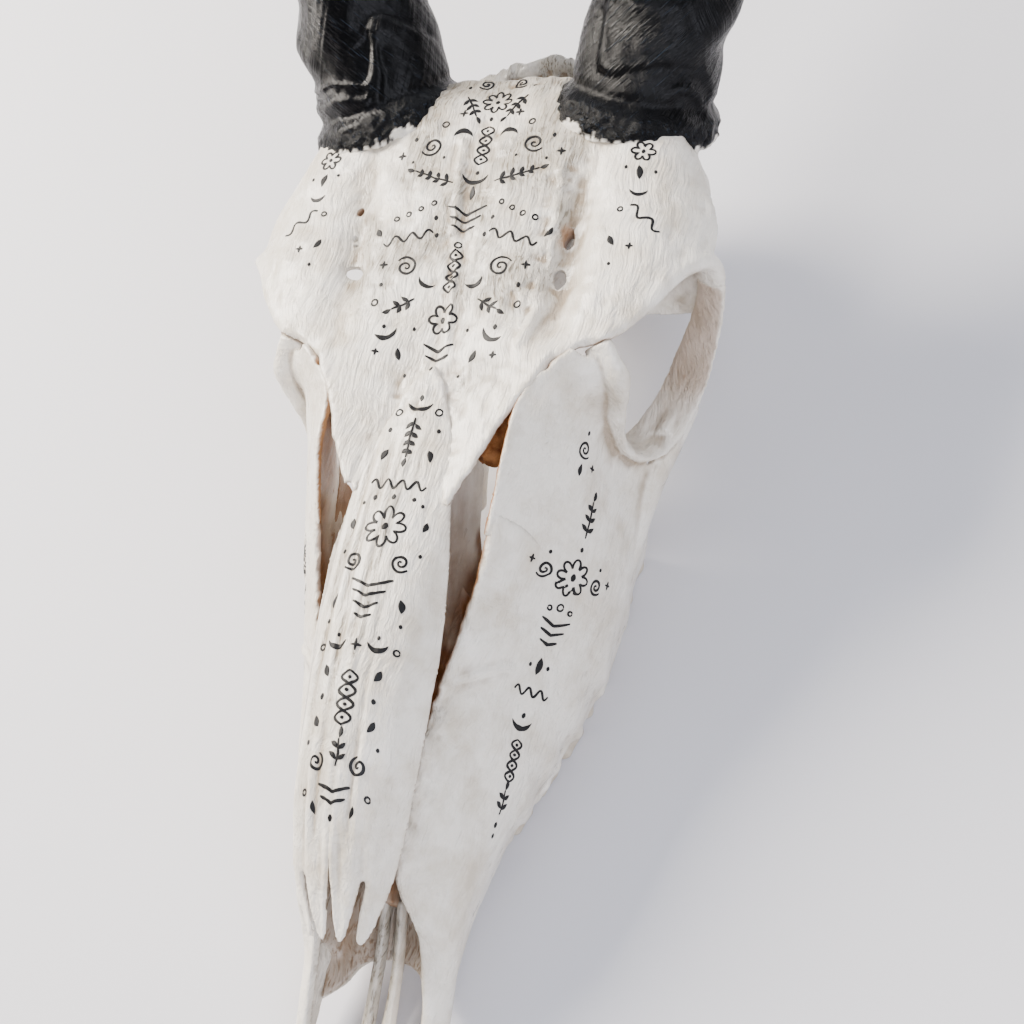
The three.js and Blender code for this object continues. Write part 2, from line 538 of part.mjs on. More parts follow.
const nasalSpace = unite([nasal(1, GAP), nasal(-1, GAP)]);
const hornSpace = unite([horn(1, { grow: GAP }), horn(-1, { grow: GAP })]);
const sheath = { 1: horn(1), '-1': horn(-1) };
const frontalWhole = unite([frontalHalf(1), frontalHalf(-1), frontalCore()]);
const frontal = cut(frontalWhole, [hornSpace, nasalSpace, box([-120, 366, 0], [120, 460, 118])]);
const frontalSpace = unite([frontalHalf(1, GAP), frontalHalf(-1, GAP), frontalCore(GAP)]);
const cheeks = unite([zygomatic(1), zygomatic(-1)]);
const cheekSpace = unite([zygomatic(1, GAP), zygomatic(-1, GAP)]);
const snoutSpace = unite([premaxilla(1, GAP), premaxilla(-1, GAP)]);
const ground = box([-120, -20, FLOOR - 60], [120, 460, FLOOR]);

place('frontal', frontal, paintedBone);
const neighbours = [frontalSpace, frontal, hornSpace, cheekSpace, cheeks, ground];
place('braincase', cut(braincase(), neighbours), paintedBone);
for (const [side, name] of [[1, 'left'], [-1, 'right']]) {
  place(`nasal_${name}`, nasal(side), paintedBone);
  const jaw = cut(maxilla(side), [nasalSpace, frontalSpace, cheekSpace, snoutSpace, ground, cheeks]);
  place(`maxilla_${name}`, jaw, paintedBone);
  place(`zygomatic_${name}`, cut(zygomatic(side), [frontalSpace, frontal]), paintedBone);
  place(`premaxilla_${name}`, premaxilla(side), paintedBone);
  place(`horn_${name}`, sheath[side], paintedHorn);
}

const noseRoom = box([-60, 150, 60], [60, CASE[0][0] - GAP, 140]);
const scrolls = cut(ethmoid().intersect(noseRoom), [frontalSpace, frontal, nasalSpace, cheekSpace, cheeks]);
place('ethmoid', scrolls, rawBone);
place('vomer', vomer(), rawBone);

const bounds = new THREE.Box3().setFromObject(group);
group.position.set(0, -(bounds.min.y + bounds.max.y) / 2, -FLOOR);

export default group;
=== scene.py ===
import json

import bmesh
import bpy
import numpy as np
from mathutils import Matrix, Vector

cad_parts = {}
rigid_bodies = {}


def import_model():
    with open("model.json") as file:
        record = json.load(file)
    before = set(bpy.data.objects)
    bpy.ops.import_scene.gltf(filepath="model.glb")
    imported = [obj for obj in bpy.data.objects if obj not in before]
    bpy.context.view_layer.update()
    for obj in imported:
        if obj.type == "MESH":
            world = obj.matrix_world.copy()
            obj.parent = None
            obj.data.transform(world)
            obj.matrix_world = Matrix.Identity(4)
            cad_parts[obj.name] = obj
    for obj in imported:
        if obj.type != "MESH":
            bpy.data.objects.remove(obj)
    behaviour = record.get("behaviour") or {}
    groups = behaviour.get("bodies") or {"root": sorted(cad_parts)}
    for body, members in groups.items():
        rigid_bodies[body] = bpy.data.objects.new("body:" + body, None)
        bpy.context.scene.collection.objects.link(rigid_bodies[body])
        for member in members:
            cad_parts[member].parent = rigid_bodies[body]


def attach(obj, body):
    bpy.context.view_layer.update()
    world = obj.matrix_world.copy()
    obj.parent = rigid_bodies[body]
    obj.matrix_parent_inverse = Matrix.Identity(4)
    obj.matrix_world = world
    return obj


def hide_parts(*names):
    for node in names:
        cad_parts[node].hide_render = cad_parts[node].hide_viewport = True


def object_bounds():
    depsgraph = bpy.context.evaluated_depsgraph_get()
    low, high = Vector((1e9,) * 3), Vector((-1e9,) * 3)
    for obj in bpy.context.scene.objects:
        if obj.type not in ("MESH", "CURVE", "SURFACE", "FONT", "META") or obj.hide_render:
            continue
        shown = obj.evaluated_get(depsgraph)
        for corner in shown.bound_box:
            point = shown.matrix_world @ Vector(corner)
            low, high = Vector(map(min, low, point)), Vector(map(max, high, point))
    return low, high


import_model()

cad_low, cad_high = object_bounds()

# Studio. The skull lies on a pale floor and the camera looks down on its forehead from the front left.
# Places are in the skull's own frame in millimetres, where y = 0 is the snout's tip and x the skull's
# left, and the frame's box says how far that frame is shifted from the model's origin.
MM = 0.001
SNOUT_TIP = 2.4  # skull-frame y of the model's front end
GROUND = 8.0  # skull-frame height of the floor
shift = np.array([0.0, cad_low.y / MM - SNOUT_TIP, -GROUND])
CAMERA_AT = np.array([220.1, -58.4, 499.2])
CAMERA_RIGHT = np.array([0.93166, 0.24994, -0.26372])
CAMERA_AHEAD = np.array([-0.35903, 0.52176, -0.77386])
FOCAL_PIXELS, IMAGE_PIXELS, SENSOR_MM = 1563.4, 1024, 36.0


def linear(hex_colour):
    """Linear colour with alpha 1 from an sRGB hex value, by the sRGB curve."""
    channels = np.array([int(hex_colour[i:i + 2], 16) for i in (1, 3, 5)]) / 255
    curve = np.where(channels <= 0.04045, channels / 12.92, ((channels + 0.055) / 1.055) ** 2.4)
    return (*curve.tolist(), 1.0)


def node(material, kind, inputs=(), **settings):
    """Adds a node with its settings. inputs maps a socket's name or number to a value or a socket."""
    made = material.node_tree.nodes.new(kind)
    for key, value in settings.items():
        setattr(made, key, value)
    for key, value in dict(inputs).items():
        if isinstance(value, bpy.types.NodeSocket):
            material.node_tree.links.new(value, made.inputs[key])
        else:
            made.inputs[key].default_value = value
    return made


def new_material(name):
    """Empty node material and its output node."""
    material = bpy.data.materials.new(name)
    material.use_nodes = True
    material.node_tree.nodes.clear()
    return material, node(material, "ShaderNodeOutputMaterial")


camera = bpy.data.objects.new("camera", bpy.data.cameras.new("camera"))
camera.data.sensor_width = SENSOR_MM
camera.data.lens = FOCAL_PIXELS / IMAGE_PIXELS * SENSOR_MM
camera.data.clip_start, camera.data.clip_end = 0.01, 20
camera_up = np.cross(CAMERA_RIGHT, CAMERA_AHEAD)
turn = Matrix(np.stack([CAMERA_RIGHT, camera_up, -CAMERA_AHEAD], 1).tolist()).to_4x4()
camera.matrix_world = Matrix.Translation(((CAMERA_AT + shift) * MM).tolist()) @ turn
bpy.context.scene.collection.objects.link(camera)
bpy.context.scene.camera = camera

FLOOR_HALF, FLOOR_GREY = 4.0, "#D9D8DC"  # half side in m
floor_mesh = bpy.data.meshes.new("floor")
corners = [(FLOOR_HALF * a, FLOOR_HALF * b, 0) for a, b in [(-1, -1), (1, -1), (1, 1), (-1, 1)]]
floor_mesh.from_pydata(corners, [], [(0, 1, 2, 3)])
floor = bpy.data.objects.new("floor", floor_mesh)
bpy.context.scene.collection.objects.link(floor)
# plaster: pale and dull, so that the shadow on it stays soft
plaster, plaster_out = new_material("pale_plaster")
plaster_shader = node(plaster, "ShaderNodeBsdfPrincipled", {
    "Base Color": linear(FLOOR_GREY), "Roughness": 0.9})
plaster.node_tree.links.new(plaster_shader.outputs[0], plaster_out.inputs[0])
floor_mesh.materials.append(plaster)

SKULL_MIDDLE = np.array([0.0, -0.2, 0.08])
WORLD_COLOUR, WORLD_STRENGTH = "#E9EBF0", 0.5
LIGHTS = [  # name, place (m from the middle of the skull), size (m), watts, colour
    ("window", (-1.15, 0.3, 1.0), 0.8, 84, "#FFF7EC"),
    ("sky", (1.0, -0.9, 1.1), 1.4, 36, "#EEF1FF"),
    ("room", (0.1, 1.4, 1.5), 1.4, 14, "#F0F4FF"),
]
for name, place, size, watts, colour in LIGHTS:
    lamp = bpy.data.objects.new(name, bpy.data.lights.new(name, "AREA"))
    lamp.data.size, lamp.data.energy, lamp.data.color = size, watts, linear(colour)[:3]
    aim = Matrix.Translation((SKULL_MIDDLE + place).tolist())
    towards_skull = -Vector(place)
    lamp.matrix_world = aim @ towards_skull.to_track_quat("-Z", "Y").to_matrix().to_4x4()
    bpy.context.scene.collection.objects.link(lamp)
world = bpy.data.worlds.new("studio")
world.use_nodes = True
world.node_tree.nodes["Background"].inputs[0].default_value = linear(WORLD_COLOUR)
world.node_tree.nodes["Background"].inputs[1].default_value = WORLD_STRENGTH
bpy.context.scene.world = world

# Frontal bone. The forehead with the roofs of the eye sockets and the stumps that carry the horns, real
# bone under pearl white paint. It is built from curved plates that follow nets of a few surface points,
# joined into one skin, and then given its grooves, holes and ragged front edge.
SIDES = ((1, "left"), (-1, "right"))
LEAN = 4.0  # the lower snout stands over to the skull's left by this much
SLOPE_STEP = 0.02  # share of a piece of a curve to either side, over which its slope is measured
HOLLOW_ROUNDS = 10  # rounds of averaging that show where the skin is hollow


def smooth_step(value, low, high):
    """0 below low, 1 above high and a smooth cubic between them."""
    t = np.clip((value - low) / (high - low), 0, 1)
    return t * t * (3 - 2 * t)


def within(value, low, full, fading, high):
    """1 from full to fading, and smoothly 0 below low and above high."""
    return smooth_step(value, low, full) * (1 - smooth_step(value, fading, high))


def to_model(points):
    """Skull-frame millimetres to model metres: the snout's lean is added, then the shift."""
    leaned = np.array(points, float)
    far = (1 - smooth_step(leaned[:, 1], 75, 185)) * (1 - smooth_step(leaned[:, 2], 38, 72))
    leaned[:, 0] += LEAN * far
    return (leaned + shift) * MM


def blend_weights(f):
    """The four Catmull-Rom weights at the share f of a piece of curve."""
    before, start = -f + 2 * f * f - f ** 3, 2 - 5 * f * f + 3 * f ** 3
    end, after = f + 4 * f * f - 3 * f ** 3, f ** 3 - f * f
    return 0.5 * np.stack([before, start, end, after], -1)


def spline_weights(t, count):
    """First of the four points that an open curve blends at t, and their weights."""
    first = np.clip(np.floor(t).astype(int), 0, count - 2)
    return first, blend_weights(t - first)


def surface(net, u, v):
    """Smooth surface through a net at (u, v): Catmull-Rom along the rows and across them, with the
    ends continued straight."""
    p = np.asarray(net, float)
    p = np.concatenate([2 * p[:1] - p[1:2], p, 2 * p[-1:] - p[-2:-1]])
    p = np.concatenate([2 * p[:, :1] - p[:, 1:2], p, 2 * p[:, -1:] - p[:, -2:-1]], 1)
    i, along = spline_weights(u, len(net))
    j, across = spline_weights(v, len(net[0]))
    four = np.arange(4)
    block = p[i[..., None, None] + four[:, None], j[..., None, None] + four]
    return np.einsum("...a,...b,...abc->...c", along, across, block)


def curve(points, t, closed=False):
    """Catmull-Rom curve through the points at the parameters t."""
    p = np.asarray(points, float)
    if closed:
        first = np.floor(t).astype(int)
        weights = blend_weights(t - first)
        return sum(weights[:, k, None] * p[(first + k - 1) % len(p)] for k in range(4))
    padded = np.concatenate([2 * p[:1] - p[1:2], p, 2 * p[-1:] - p[-2:-1]])
    first, weights = spline_weights(t, len(p))
    return sum(weights[:, k, None] * padded[first + k] for k in range(4))


def unit(a):
    """Vectors of length 1 along the last axis."""
    return a / np.maximum(np.linalg.norm(a, axis=-1, keepdims=True), 1e-9)


def noise(points, size, seed=0):
    """Smooth noise from -1 to 1: numbers hashed on a lattice of that size, blended by a cubic."""
    q = np.asarray(points, float) / size + seed * 17.3
    cell = np.floor(q)
    f = q - cell
    f = f * f * (3 - 2 * f)
    total = 0.0
    for corner in np.ndindex(2, 2, 2):
        at = cell + corner
        value = np.sin(at @ [12.9898, 78.233, 37.719] + seed) * 43758.5453
        weight = np.prod(np.where(corner, f, 1 - f), -1)
        total = total + weight * (2 * (value - np.floor(value)) - 1)
    return total


def grid_faces(rows, cols, start=0, around=False):
    """Quads of a grid of points, closed around its columns where asked."""
    i = np.arange(rows - 1)[:, None]
    j = np.arange(cols if around else cols - 1)[None, :]
    k = (j + 1) % cols
    quads = [i * cols + j, i * cols + k, (i + 1) * cols + k, (i + 1) * cols + j]
    return start + np.stack([q.ravel() for q in quads], 1)


def plate(net, u, v, wall):
    """Closed sheet of bone: the net's surface over the grids u and v, with its wall under it."""
    outer = surface(net, u, v)
    along = unit(surface(net, u + SLOPE_STEP, v) - surface(net, u - SLOPE_STEP, v))
    across = unit(surface(net, u, v + SLOPE_STEP) - surface(net, u, v - SLOPE_STEP))
    inner = outer - unit(np.cross(across, along)) * np.broadcast_to(wall, u.shape)[..., None]
    rows, cols = u.shape
    points = np.concatenate([outer.reshape(-1, 3), inner.reshape(-1, 3)])
    edge = np.concatenate([
        np.arange(cols - 1), np.arange(rows - 1) * cols + cols - 1,
        (rows - 1) * cols + np.arange(cols - 1, 0, -1), np.arange(rows - 1, 0, -1) * cols,
    ])
    after = np.roll(edge, -1)
    skirt = np.stack([after, edge, edge + rows * cols, after + rows * cols], 1)
    faces = [grid_faces(rows, cols), grid_faces(rows, cols, rows * cols)[:, ::-1], skirt]
    return points, faces


def tube(rings):
    """Closed tube through rings of points (rings, sides, 3), with a flat cap at each end."""
    count, sides = rings.shape[:2]
    points = np.concatenate([rings.reshape(-1, 3), rings[:1].mean(1), rings[-1:].mean(1)])
    j = np.arange(sides)
    k = (j + 1) % sides
    first_cap = np.stack([np.full(sides, count * sides), k, j], 1)
    end = (count - 1) * sides
    last_cap = np.stack([np.full(sides, count * sides + 1), end + j, end + k], 1)
    return points, [grid_faces(count, sides, around=True), first_cap, last_cap]


def bar(points, span, steps, wide, deep, across, sides=20, closed=False):
    """Bar of elliptical section carried along a curve. wide and deep are half sizes over the
    steps, and across is the direction that wide is measured in, or a function of the centres."""
    t = np.linspace(*span, steps)
    centre = curve(points, t, closed)
    along = unit(curve(points, t + SLOPE_STEP, closed) - curve(points, t - SLOPE_STEP, closed))
    wanted = across(centre) if callable(across) else np.broadcast_to(across, centre.shape)
    depth = unit(np.cross(along, wanted))
    width = unit(np.cross(depth, along))
    angle = np.linspace(0, 2 * np.pi, sides, endpoint=False)[None, :, None]
    a = np.broadcast_to(wide, t.shape)[:, None, None]
    b = np.broadcast_to(deep, t.shape)[:, None, None]
    rings = centre[:, None] + width[:, None] * a * np.cos(angle) + depth[:, None] * b * np.sin(angle)
    return tube(rings)


def ball(centre, radii, sides=28):
    """Ellipsoid: rings of a circle whose radius follows a half circle from pole to pole."""
    polar = np.linspace(0.08, np.pi - 0.08, sides // 2)[:, None]
    angle = np.linspace(0, 2 * np.pi, sides, endpoint=False)[None]
    shape = [np.sin(polar) * np.cos(angle), np.sin(polar) * np.sin(angle), np.cos(polar) + 0 * angle]
    return tube(np.array(centre) + np.stack(shape, -1) * radii)


def mirrored(shell):
    """The same shell on the skull's right."""
    points, faces = shell
    return points * [-1, 1, 1], faces


def both(shell):
    """A shell and its mirror image."""
    return [shell, mirrored(shell)]


def on_side(side, shells):
    """Shells made for the skull's left, mirrored where the side is -1."""
    return shells if side == 1 else [mirrored(shell) for shell in shells]


def outward(shell):
    """The shell, its faces turned round where the volume that they enclose comes out negative."""
    points, faces = shell
    volume = 0.0
    for face in faces:
        corner = points[face]
        for k in range(1, face.shape[1] - 1):
            volume += np.einsum("ij,ij->", corner[:, 0], np.cross(corner[:, k], corner[:, k + 1]))
    return points, [face[:, ::-1] for face in faces] if volume < 0 else faces


def mesh_object(name, shells, closed=True):
    """One mesh object, at the origin, from shells in the skull's frame. Closed ones face outwards."""
    shells = [outward(shell) for shell in shells] if closed else shells
    starts = np.cumsum([0] + [len(points) for points, _ in shells])
    points = to_model(np.concatenate([points for points, _ in shells]))
    faces = [face + start for (_, listed), start in zip(shells, starts) for face in listed]
    corner_of = np.concatenate([face.ravel() for face in faces])
    sizes = np.concatenate([np.full(len(face), face.shape[1]) for face in faces])
    mesh = bpy.data.meshes.new(name)
    mesh.vertices.add(len(points))
    mesh.vertices.foreach_set("co", points.ravel())
    mesh.loops.add(len(corner_of))
    mesh.loops.foreach_set("vertex_index", corner_of)
    mesh.polygons.add(len(sizes))
    mesh.polygons.foreach_set("loop_start", np.cumsum(sizes) - sizes)
    mesh.update(calc_edges=True)
    made = bpy.data.objects.new(name, mesh)
    bpy.context.scene.collection.objects.link(made)
    return made


def applied(made):
    """The object's mesh replaced by what its modifiers give."""
    graph = bpy.context.evaluated_depsgraph_get()
    finished = bpy.data.meshes.new_from_object(made.evaluated_get(graph))
    made.modifiers.clear()
    made.data = finished
    return finished


def neighbours_mean(values, edges):
    """Mean of each point's neighbours along the edges, for one value a point."""
    count = np.bincount(edges.ravel(), minlength=len(values))
    total = np.bincount(edges[:, 0], values[edges[:, 1]], len(values))
    total += np.bincount(edges[:, 1], values[edges[:, 0]], len(values))
    return total / np.maximum(count, 1)


def set_attribute(mesh, name, values):
    """A number for each point of the mesh, which its material reads."""
    mesh.attributes.new(name, "FLOAT", "POINT").data.foreach_set("value", values.astype(np.float32))


def read_points(mesh):
    """Skull-frame points (still leaned), normals and edges of a mesh."""
    co = np.empty(len(mesh.vertices) * 3)
    mesh.vertices.foreach_get("co", co)
    normals = np.empty(len(mesh.vertices) * 3)
    mesh.vertex_normals.foreach_get("vector", normals)
    edges = np.empty(len(mesh.edges) * 2, int)
    mesh.edges.foreach_get("vertices", edges)
    return co.reshape(-1, 3) / MM - shift, normals.reshape(-1, 3), edges.reshape(-1, 2)


def keep_inside(points):
    """Points held a hair inside the box that the skull's measured size gives."""
    slack = 0.05
    low, high = np.array(cad_low) / MM - shift + slack, np.array(cad_high) / MM - shift - slack
    return np.clip(points, low, high)


def near_line(points, line):
    """Distance of each point from a broken line, the least over its pieces."""
    line = np.array(line, float)
    best = np.full(len(points), np.inf)
    for a, b in zip(line[:-1], line[1:]):
        t = np.clip((points - a) @ (b - a) / ((b - a) @ (b - a)), 0, 1)
        best = np.minimum(best, np.linalg.norm(points - a - t[:, None] * (b - a), axis=1))
    return best


def ridge(points, line, width, height):
    """Thin ridge along a broken line, or a crack where height is negative: a bell curve of the
    distance, wavering by noise."""
    waver = points + 0.8 * np.stack([noise(points, 5, 70 + k) for k in range(3)], 1)
    return height * np.exp(-(near_line(waver, line) / width) ** 2)


def bone(name, shells, nodes, material, voxel=1.2, rounds=6, relief=None, raw=None, stain=None,
         cutters=()):
    """One bone. Its shells are fused into one skin on a grid of that voxel (mm), smoothed for some
    rounds, moved along its normals by relief(points, normals) in mm, and drilled by the cutters.
    raw and stain (points, normals) say where it is bare, and where it is greyed by grime and by
    painted shade; hollows are noted too, for painted shade."""
    made = mesh_object(name, shells)
    fuse = made.modifiers.new("fuse", "REMESH")
    fuse.mode, fuse.voxel_size = "VOXEL", voxel * MM
    soften = made.modifiers.new("soften", "SMOOTH")
    soften.factor, soften.iterations = 0.5, rounds
    mesh = applied(made)
    if relief:
        points, normals, _ = read_points(mesh)
        points = keep_inside(points + normals * relief(points, normals)[:, None])
        mesh.vertices.foreach_set("co", ((points + shift) * MM).ravel())
        mesh.update()
    for cutter in cutters:
        tool = mesh_object("cutter", [cutter])
        drill = made.modifiers.new("drill", "BOOLEAN")
        drill.operation, drill.object, drill.solver = "DIFFERENCE", tool, "MANIFOLD"
        mesh = applied(made)
        bpy.data.objects.remove(tool)
    points, normals, edges = read_points(mesh)
    soft = points
    for _ in range(HOLLOW_ROUNDS):
        soft = np.stack([neighbours_mean(soft[:, axis], edges) for axis in range(3)], 1)
    # how hollow the skin is here, which the painted bone's material darkens as painted shade
    set_attribute(mesh, "hollow", np.clip(((soft - points) * normals).sum(1), -2, 2))
    set_attribute(mesh, "raw", raw(points, normals) if raw else np.zeros(len(points)))
    set_attribute(mesh, "stain", stain(points, normals) if stain else np.zeros(len(points)))
    mesh.polygons.foreach_set("use_smooth", np.ones(len(mesh.polygons), bool))
    mesh.materials.clear()
    mesh.materials.append(material)
    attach(made, "root")
    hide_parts(*nodes)


# paint, its mottled tone, painted shade of the hollows (partly grime there), grey of the stain attribute
PEARL, PEARL_SHADE, PEARL_HOLLOW_SHADE_AND_DIRT, PEARL_GREY = "#F0E9DC", "#D0C4B0", "#8A7458", "#7E7463"
RAW_LIGHT, RAW_DARK = "#B07A45", "#5E3C20"
STROKE_MM, FIBRE_MM, MOTTLE_MM, GRAIN_MM, BEND_MM, BEND_BY_MM = 2.2, 0.85, 15.0, 0.7, 22.0, 9.0
STROKE_STRETCH = (1, 0.14, 0.75)  # strokes are long from snout to crown

painted_bone, painted_out = new_material("brushed_pearl_paint")


def bone_material():
    """Bone under brushed pearl paint. Long fibrous strokes run from snout to crown and bend a little,
    the hollows are painted a darker brown-grey, as painted shade and as grime gathered there, grey goes
    where the stain attribute says, and where the raw attribute says so the brown bone shows bare."""
    m = painted_bone
    place = node(m, "ShaderNodeTexCoord").outputs["Object"]
    bend = node(m, "ShaderNodeTexNoise", {"Vector": place, "Scale": 1 / (BEND_MM * MM), "Detail": 2.0})
    shove = node(m, "ShaderNodeVectorMath", {
        0: bend.outputs["Color"], "Scale": BEND_BY_MM * MM}, operation="SCALE")
    bent = node(m, "ShaderNodeVectorMath", {0: place, 1: shove.outputs[0]}, operation="ADD").outputs[0]
    along = node(m, "ShaderNodeMapping", {"Vector": bent, "Scale": STROKE_STRETCH}).outputs[0]
    strokes = node(m, "ShaderNodeTexNoise", {
        "Vector": along, "Scale": 1 / (STROKE_MM * MM), "Detail": 3.0, "Roughness": 0.5}).outputs["Fac"]
    fibres = node(m, "ShaderNodeTexNoise", {
        "Vector": along, "Scale": 1 / (FIBRE_MM * MM), "Detail": 3.0, "Roughness": 0.6}).outputs["Fac"]
    mottle = node(m, "ShaderNodeTexNoise", {
        "Vector": place, "Scale": 1 / (MOTTLE_MM * MM), "Detail": 6.0, "Roughness": 0.62}).outputs["Fac"]
    grain = node(m, "ShaderNodeTexNoise", {
        "Vector": place, "Scale": 1 / (GRAIN_MM * MM), "Detail": 3.0, "Roughness": 0.6}).outputs["Fac"]
    hollow = node(m, "ShaderNodeAttribute", attribute_name="hollow").outputs["Fac"]
    bare = node(m, "ShaderNodeAttribute", attribute_name="raw").outputs["Fac"]
    stain_and_shade_mask = node(m, "ShaderNodeAttribute", attribute_name="stain").outputs["Fac"]
    shade = node(m, "ShaderNodeMapRange", {"Value": mottle, "From Min": 0.42, "From Max": 0.7})
    coat = node(m, "ShaderNodeMix", {
        0: shade.outputs[0], 6: linear(PEARL), 7: linear(PEARL_SHADE)}, data_type="RGBA").outputs[2]
    thin = node(m, "ShaderNodeMapRange", {
        "Value": fibres, "From Min": 0.5, "From Max": 0.72, "To Max": 0.8})
    patch = node(m, "ShaderNodeMath", {0: thin.outputs[0], 1: 0.55}, operation="ADD").outputs[0]
    # grey over the paint where the stain attribute says: grime in some places, painted shade in others
    greying_mask = node(m, "ShaderNodeMath", {0: stain_and_shade_mask, 1: patch}, operation="MULTIPLY", use_clamp=True)
    greyed = node(m, "ShaderNodeMix", {
        0: greying_mask.outputs[0], 6: coat, 7: linear(PEARL_GREY)}, data_type="RGBA").outputs[2]
    # painted shade: the deeper the hollow, the darker brown-grey the paint, partly as grime gathered there
    deep = node(m, "ShaderNodeMapRange", {
        "Value": hollow, "From Min": 0.05, "From Max": 0.45, "To Max": 0.8})
    hollows_shaded = node(m, "ShaderNodeMix", {
        0: deep.outputs[0], 6: greyed, 7: linear(PEARL_HOLLOW_SHADE_AND_DIRT)}, data_type="RGBA").outputs[2]
    brown = node(m, "ShaderNodeMix", {
        0: mottle, 6: linear(RAW_LIGHT), 7: linear(RAW_DARK)}, data_type="RGBA").outputs[2]
    colour = node(m, "ShaderNodeMix", {0: bare, 6: hollows_shaded, 7: brown}, data_type="RGBA").outputs[2]
    gloss = node(m, "ShaderNodeMapRange", {
        "Value": strokes, "From Min": 0.3, "From Max": 0.7, "To Min": 0.24, "To Max": 0.48}).outputs[0]
    rough = node(m, "ShaderNodeMix", {0: bare, 2: gloss, 3: 0.85}).outputs[0]
    stroke_bump = node(m, "ShaderNodeBump", {
        "Height": strokes, "Distance": 1.5 * MM, "Strength": 0.7}).outputs[0]
    fibre_bump = node(m, "ShaderNodeBump", {
        "Height": fibres, "Distance": 0.6 * MM, "Strength": 0.9, "Normal": stroke_bump}).outputs[0]
    grain_bump = node(m, "ShaderNodeBump", {
        "Height": grain, "Distance": 0.16 * MM, "Strength": 0.5, "Normal": fibre_bump}).outputs[0]
    shader = node(m, "ShaderNodeBsdfPrincipled", {
        "Base Color": colour, "Roughness": rough, "Normal": grain_bump,
        "Coat Weight": 0.4, "Coat Roughness": 0.2,
    })
    m.node_tree.links.new(shader.outputs[0], painted_out.inputs[0])


bone_material()

# Nets of surface points, rows from snout to crown and columns from the middle outwards
FOREHEAD = [
    [[0, 247, 118], [9, 237, 117], [17.3, 207, 114.3], [36, 243, 123.5]],
    [[0, 262, 121.5], [12, 258, 122], [25, 252, 123.5], [40, 258, 126]],
    [[0, 284, 128.3], [13, 283, 129.5], [27, 282, 129.5], [42, 284, 128.5]],
    [[0, 310, 134.5], [14, 310, 136], [28, 311, 135], [43, 312, 134]],
    [[0, 338, 139], [14, 338, 140.5], [28, 340, 141], [45, 342, 140]],
    [[0, 360, 142], [14, 361, 143.5], [28, 363, 143], [46, 364, 140]],
    [[0, 378, 140.5], [14, 379, 141], [28, 380, 138], [46, 380, 132]],
]
BROW = [  # roof of the eye socket, and the bone between it and the horn
    [[33, 247, 122.6], [43, 256, 124.5], [51, 262, 126], [58, 267, 127]],
    [[39, 272, 127.6], [50, 274, 128.6], [61, 277, 129], [71, 283, 127.5]],
    [[41, 296, 131], [55, 297, 132.4], [69, 297, 131], [82, 299, 125.5]],
    [[43, 318, 135], [58, 318, 136], [73, 317, 132], [88, 312, 119.5]],
    [[44, 338, 139.5], [59, 337, 139.5], [72, 334, 135], [85, 328, 123.5]],
    [[44, 358, 142], [60, 355, 141], [70, 352, 136], [76, 350, 127]],
]
RIM = [  # round the eye socket, from its front corner over the top, the back and the bottom
    [56, 267.5, 123.5], [62.5, 275.5, 123.5], [68.5, 283.5, 124], [73.3, 292.5, 124], [78.5, 301, 122.5],
    [83.2, 307, 118.5], [85.2, 308.5, 111], [84.8, 305, 101.5], [82.5, 299, 91.5], [79.5, 291.5, 82.5],
    [75.5, 283, 74.5], [71, 274, 69.5], [66, 265.5, 68], [61.5, 258.5, 71.5], [58, 255, 79.5],
    [56.8, 255, 88.5], [58.2, 257, 98], [60, 260, 108.5], [58.8, 263, 117.5],
]
RIM_SPLIT = 6.5  # point of the rim where the cheek bone's collar takes over
RIM_THICK, RIM_DEEP = 3.3, 6.5
SOCKET_AXIS = np.array([0.834, -0.533, 0.143])
SOCKET_WALL = [
    [[46, 284, 123], [60, 294, 124], [72, 302, 122], [82, 307, 117]],
    [[45, 291, 112], [59, 301, 110], [71, 309, 107], [82, 310, 105]],
    [[47, 293, 103], [59, 301, 95.5], [70, 309, 87], [80, 306, 92]],
]
HORN_BASE = np.array([50.0, 371.0, 130.0])
HORN_RISE, HORN_SPREAD = np.radians(44), np.radians(19)
horn_axis = np.array([
    np.cos(HORN_RISE) * np.sin(HORN_SPREAD), np.cos(HORN_RISE) * np.cos(HORN_SPREAD), np.sin(HORN_RISE),
])


def mesh_grid(u0, u1, v0, v1, rows, cols):
    """Grids u and v over a rectangle of a net; u0 may differ by column, for a ragged edge."""
    v = np.linspace(v0, v1, cols)[None, :]
    s = np.linspace(0, 1, rows)[:, None]
    u = np.broadcast_to(u0, v.shape) * (1 - s) + u1 * s
    return u, np.broadcast_to(v, u.shape)


def ragged(v, amount, seed):
    """Uneven edge: noise of three sizes over v."""
    line = np.stack([np.atleast_1d(v), np.full(np.size(v), float(seed)), np.zeros(np.size(v))], 1)
    waves = noise(line, 0.35, seed) + 0.7 * noise(line, 0.13, seed + 1) + 0.6 * noise(line, 0.05, seed + 2)
    return amount * waves


def rim_bar(t0, t1, steps, thick=RIM_THICK, deep=RIM_DEEP, inset=0.0):
    """Collar of the eye socket from point t0 to t1 of its rim, set into the socket by inset."""
    middle = np.mean(RIM, 0)
    return bar(np.array(RIM) - SOCKET_AXIS * inset, (t0, t1), steps, thick, deep, lambda p: p - middle,
               closed=True)


THIN_WALL, SOCKET_WALL_THICK = 2.6, 2.2
STUMP_REACH, STUMP_AT, STUMP_RADIUS = (-46, -18, 6), [0, 1.1, 1.5, 2], [18, 26, 24, 20]
BRAIN_CORE = [[0, 285, 118], [0, 312, 121], [0, 345, 124], [0, 374, 124]]


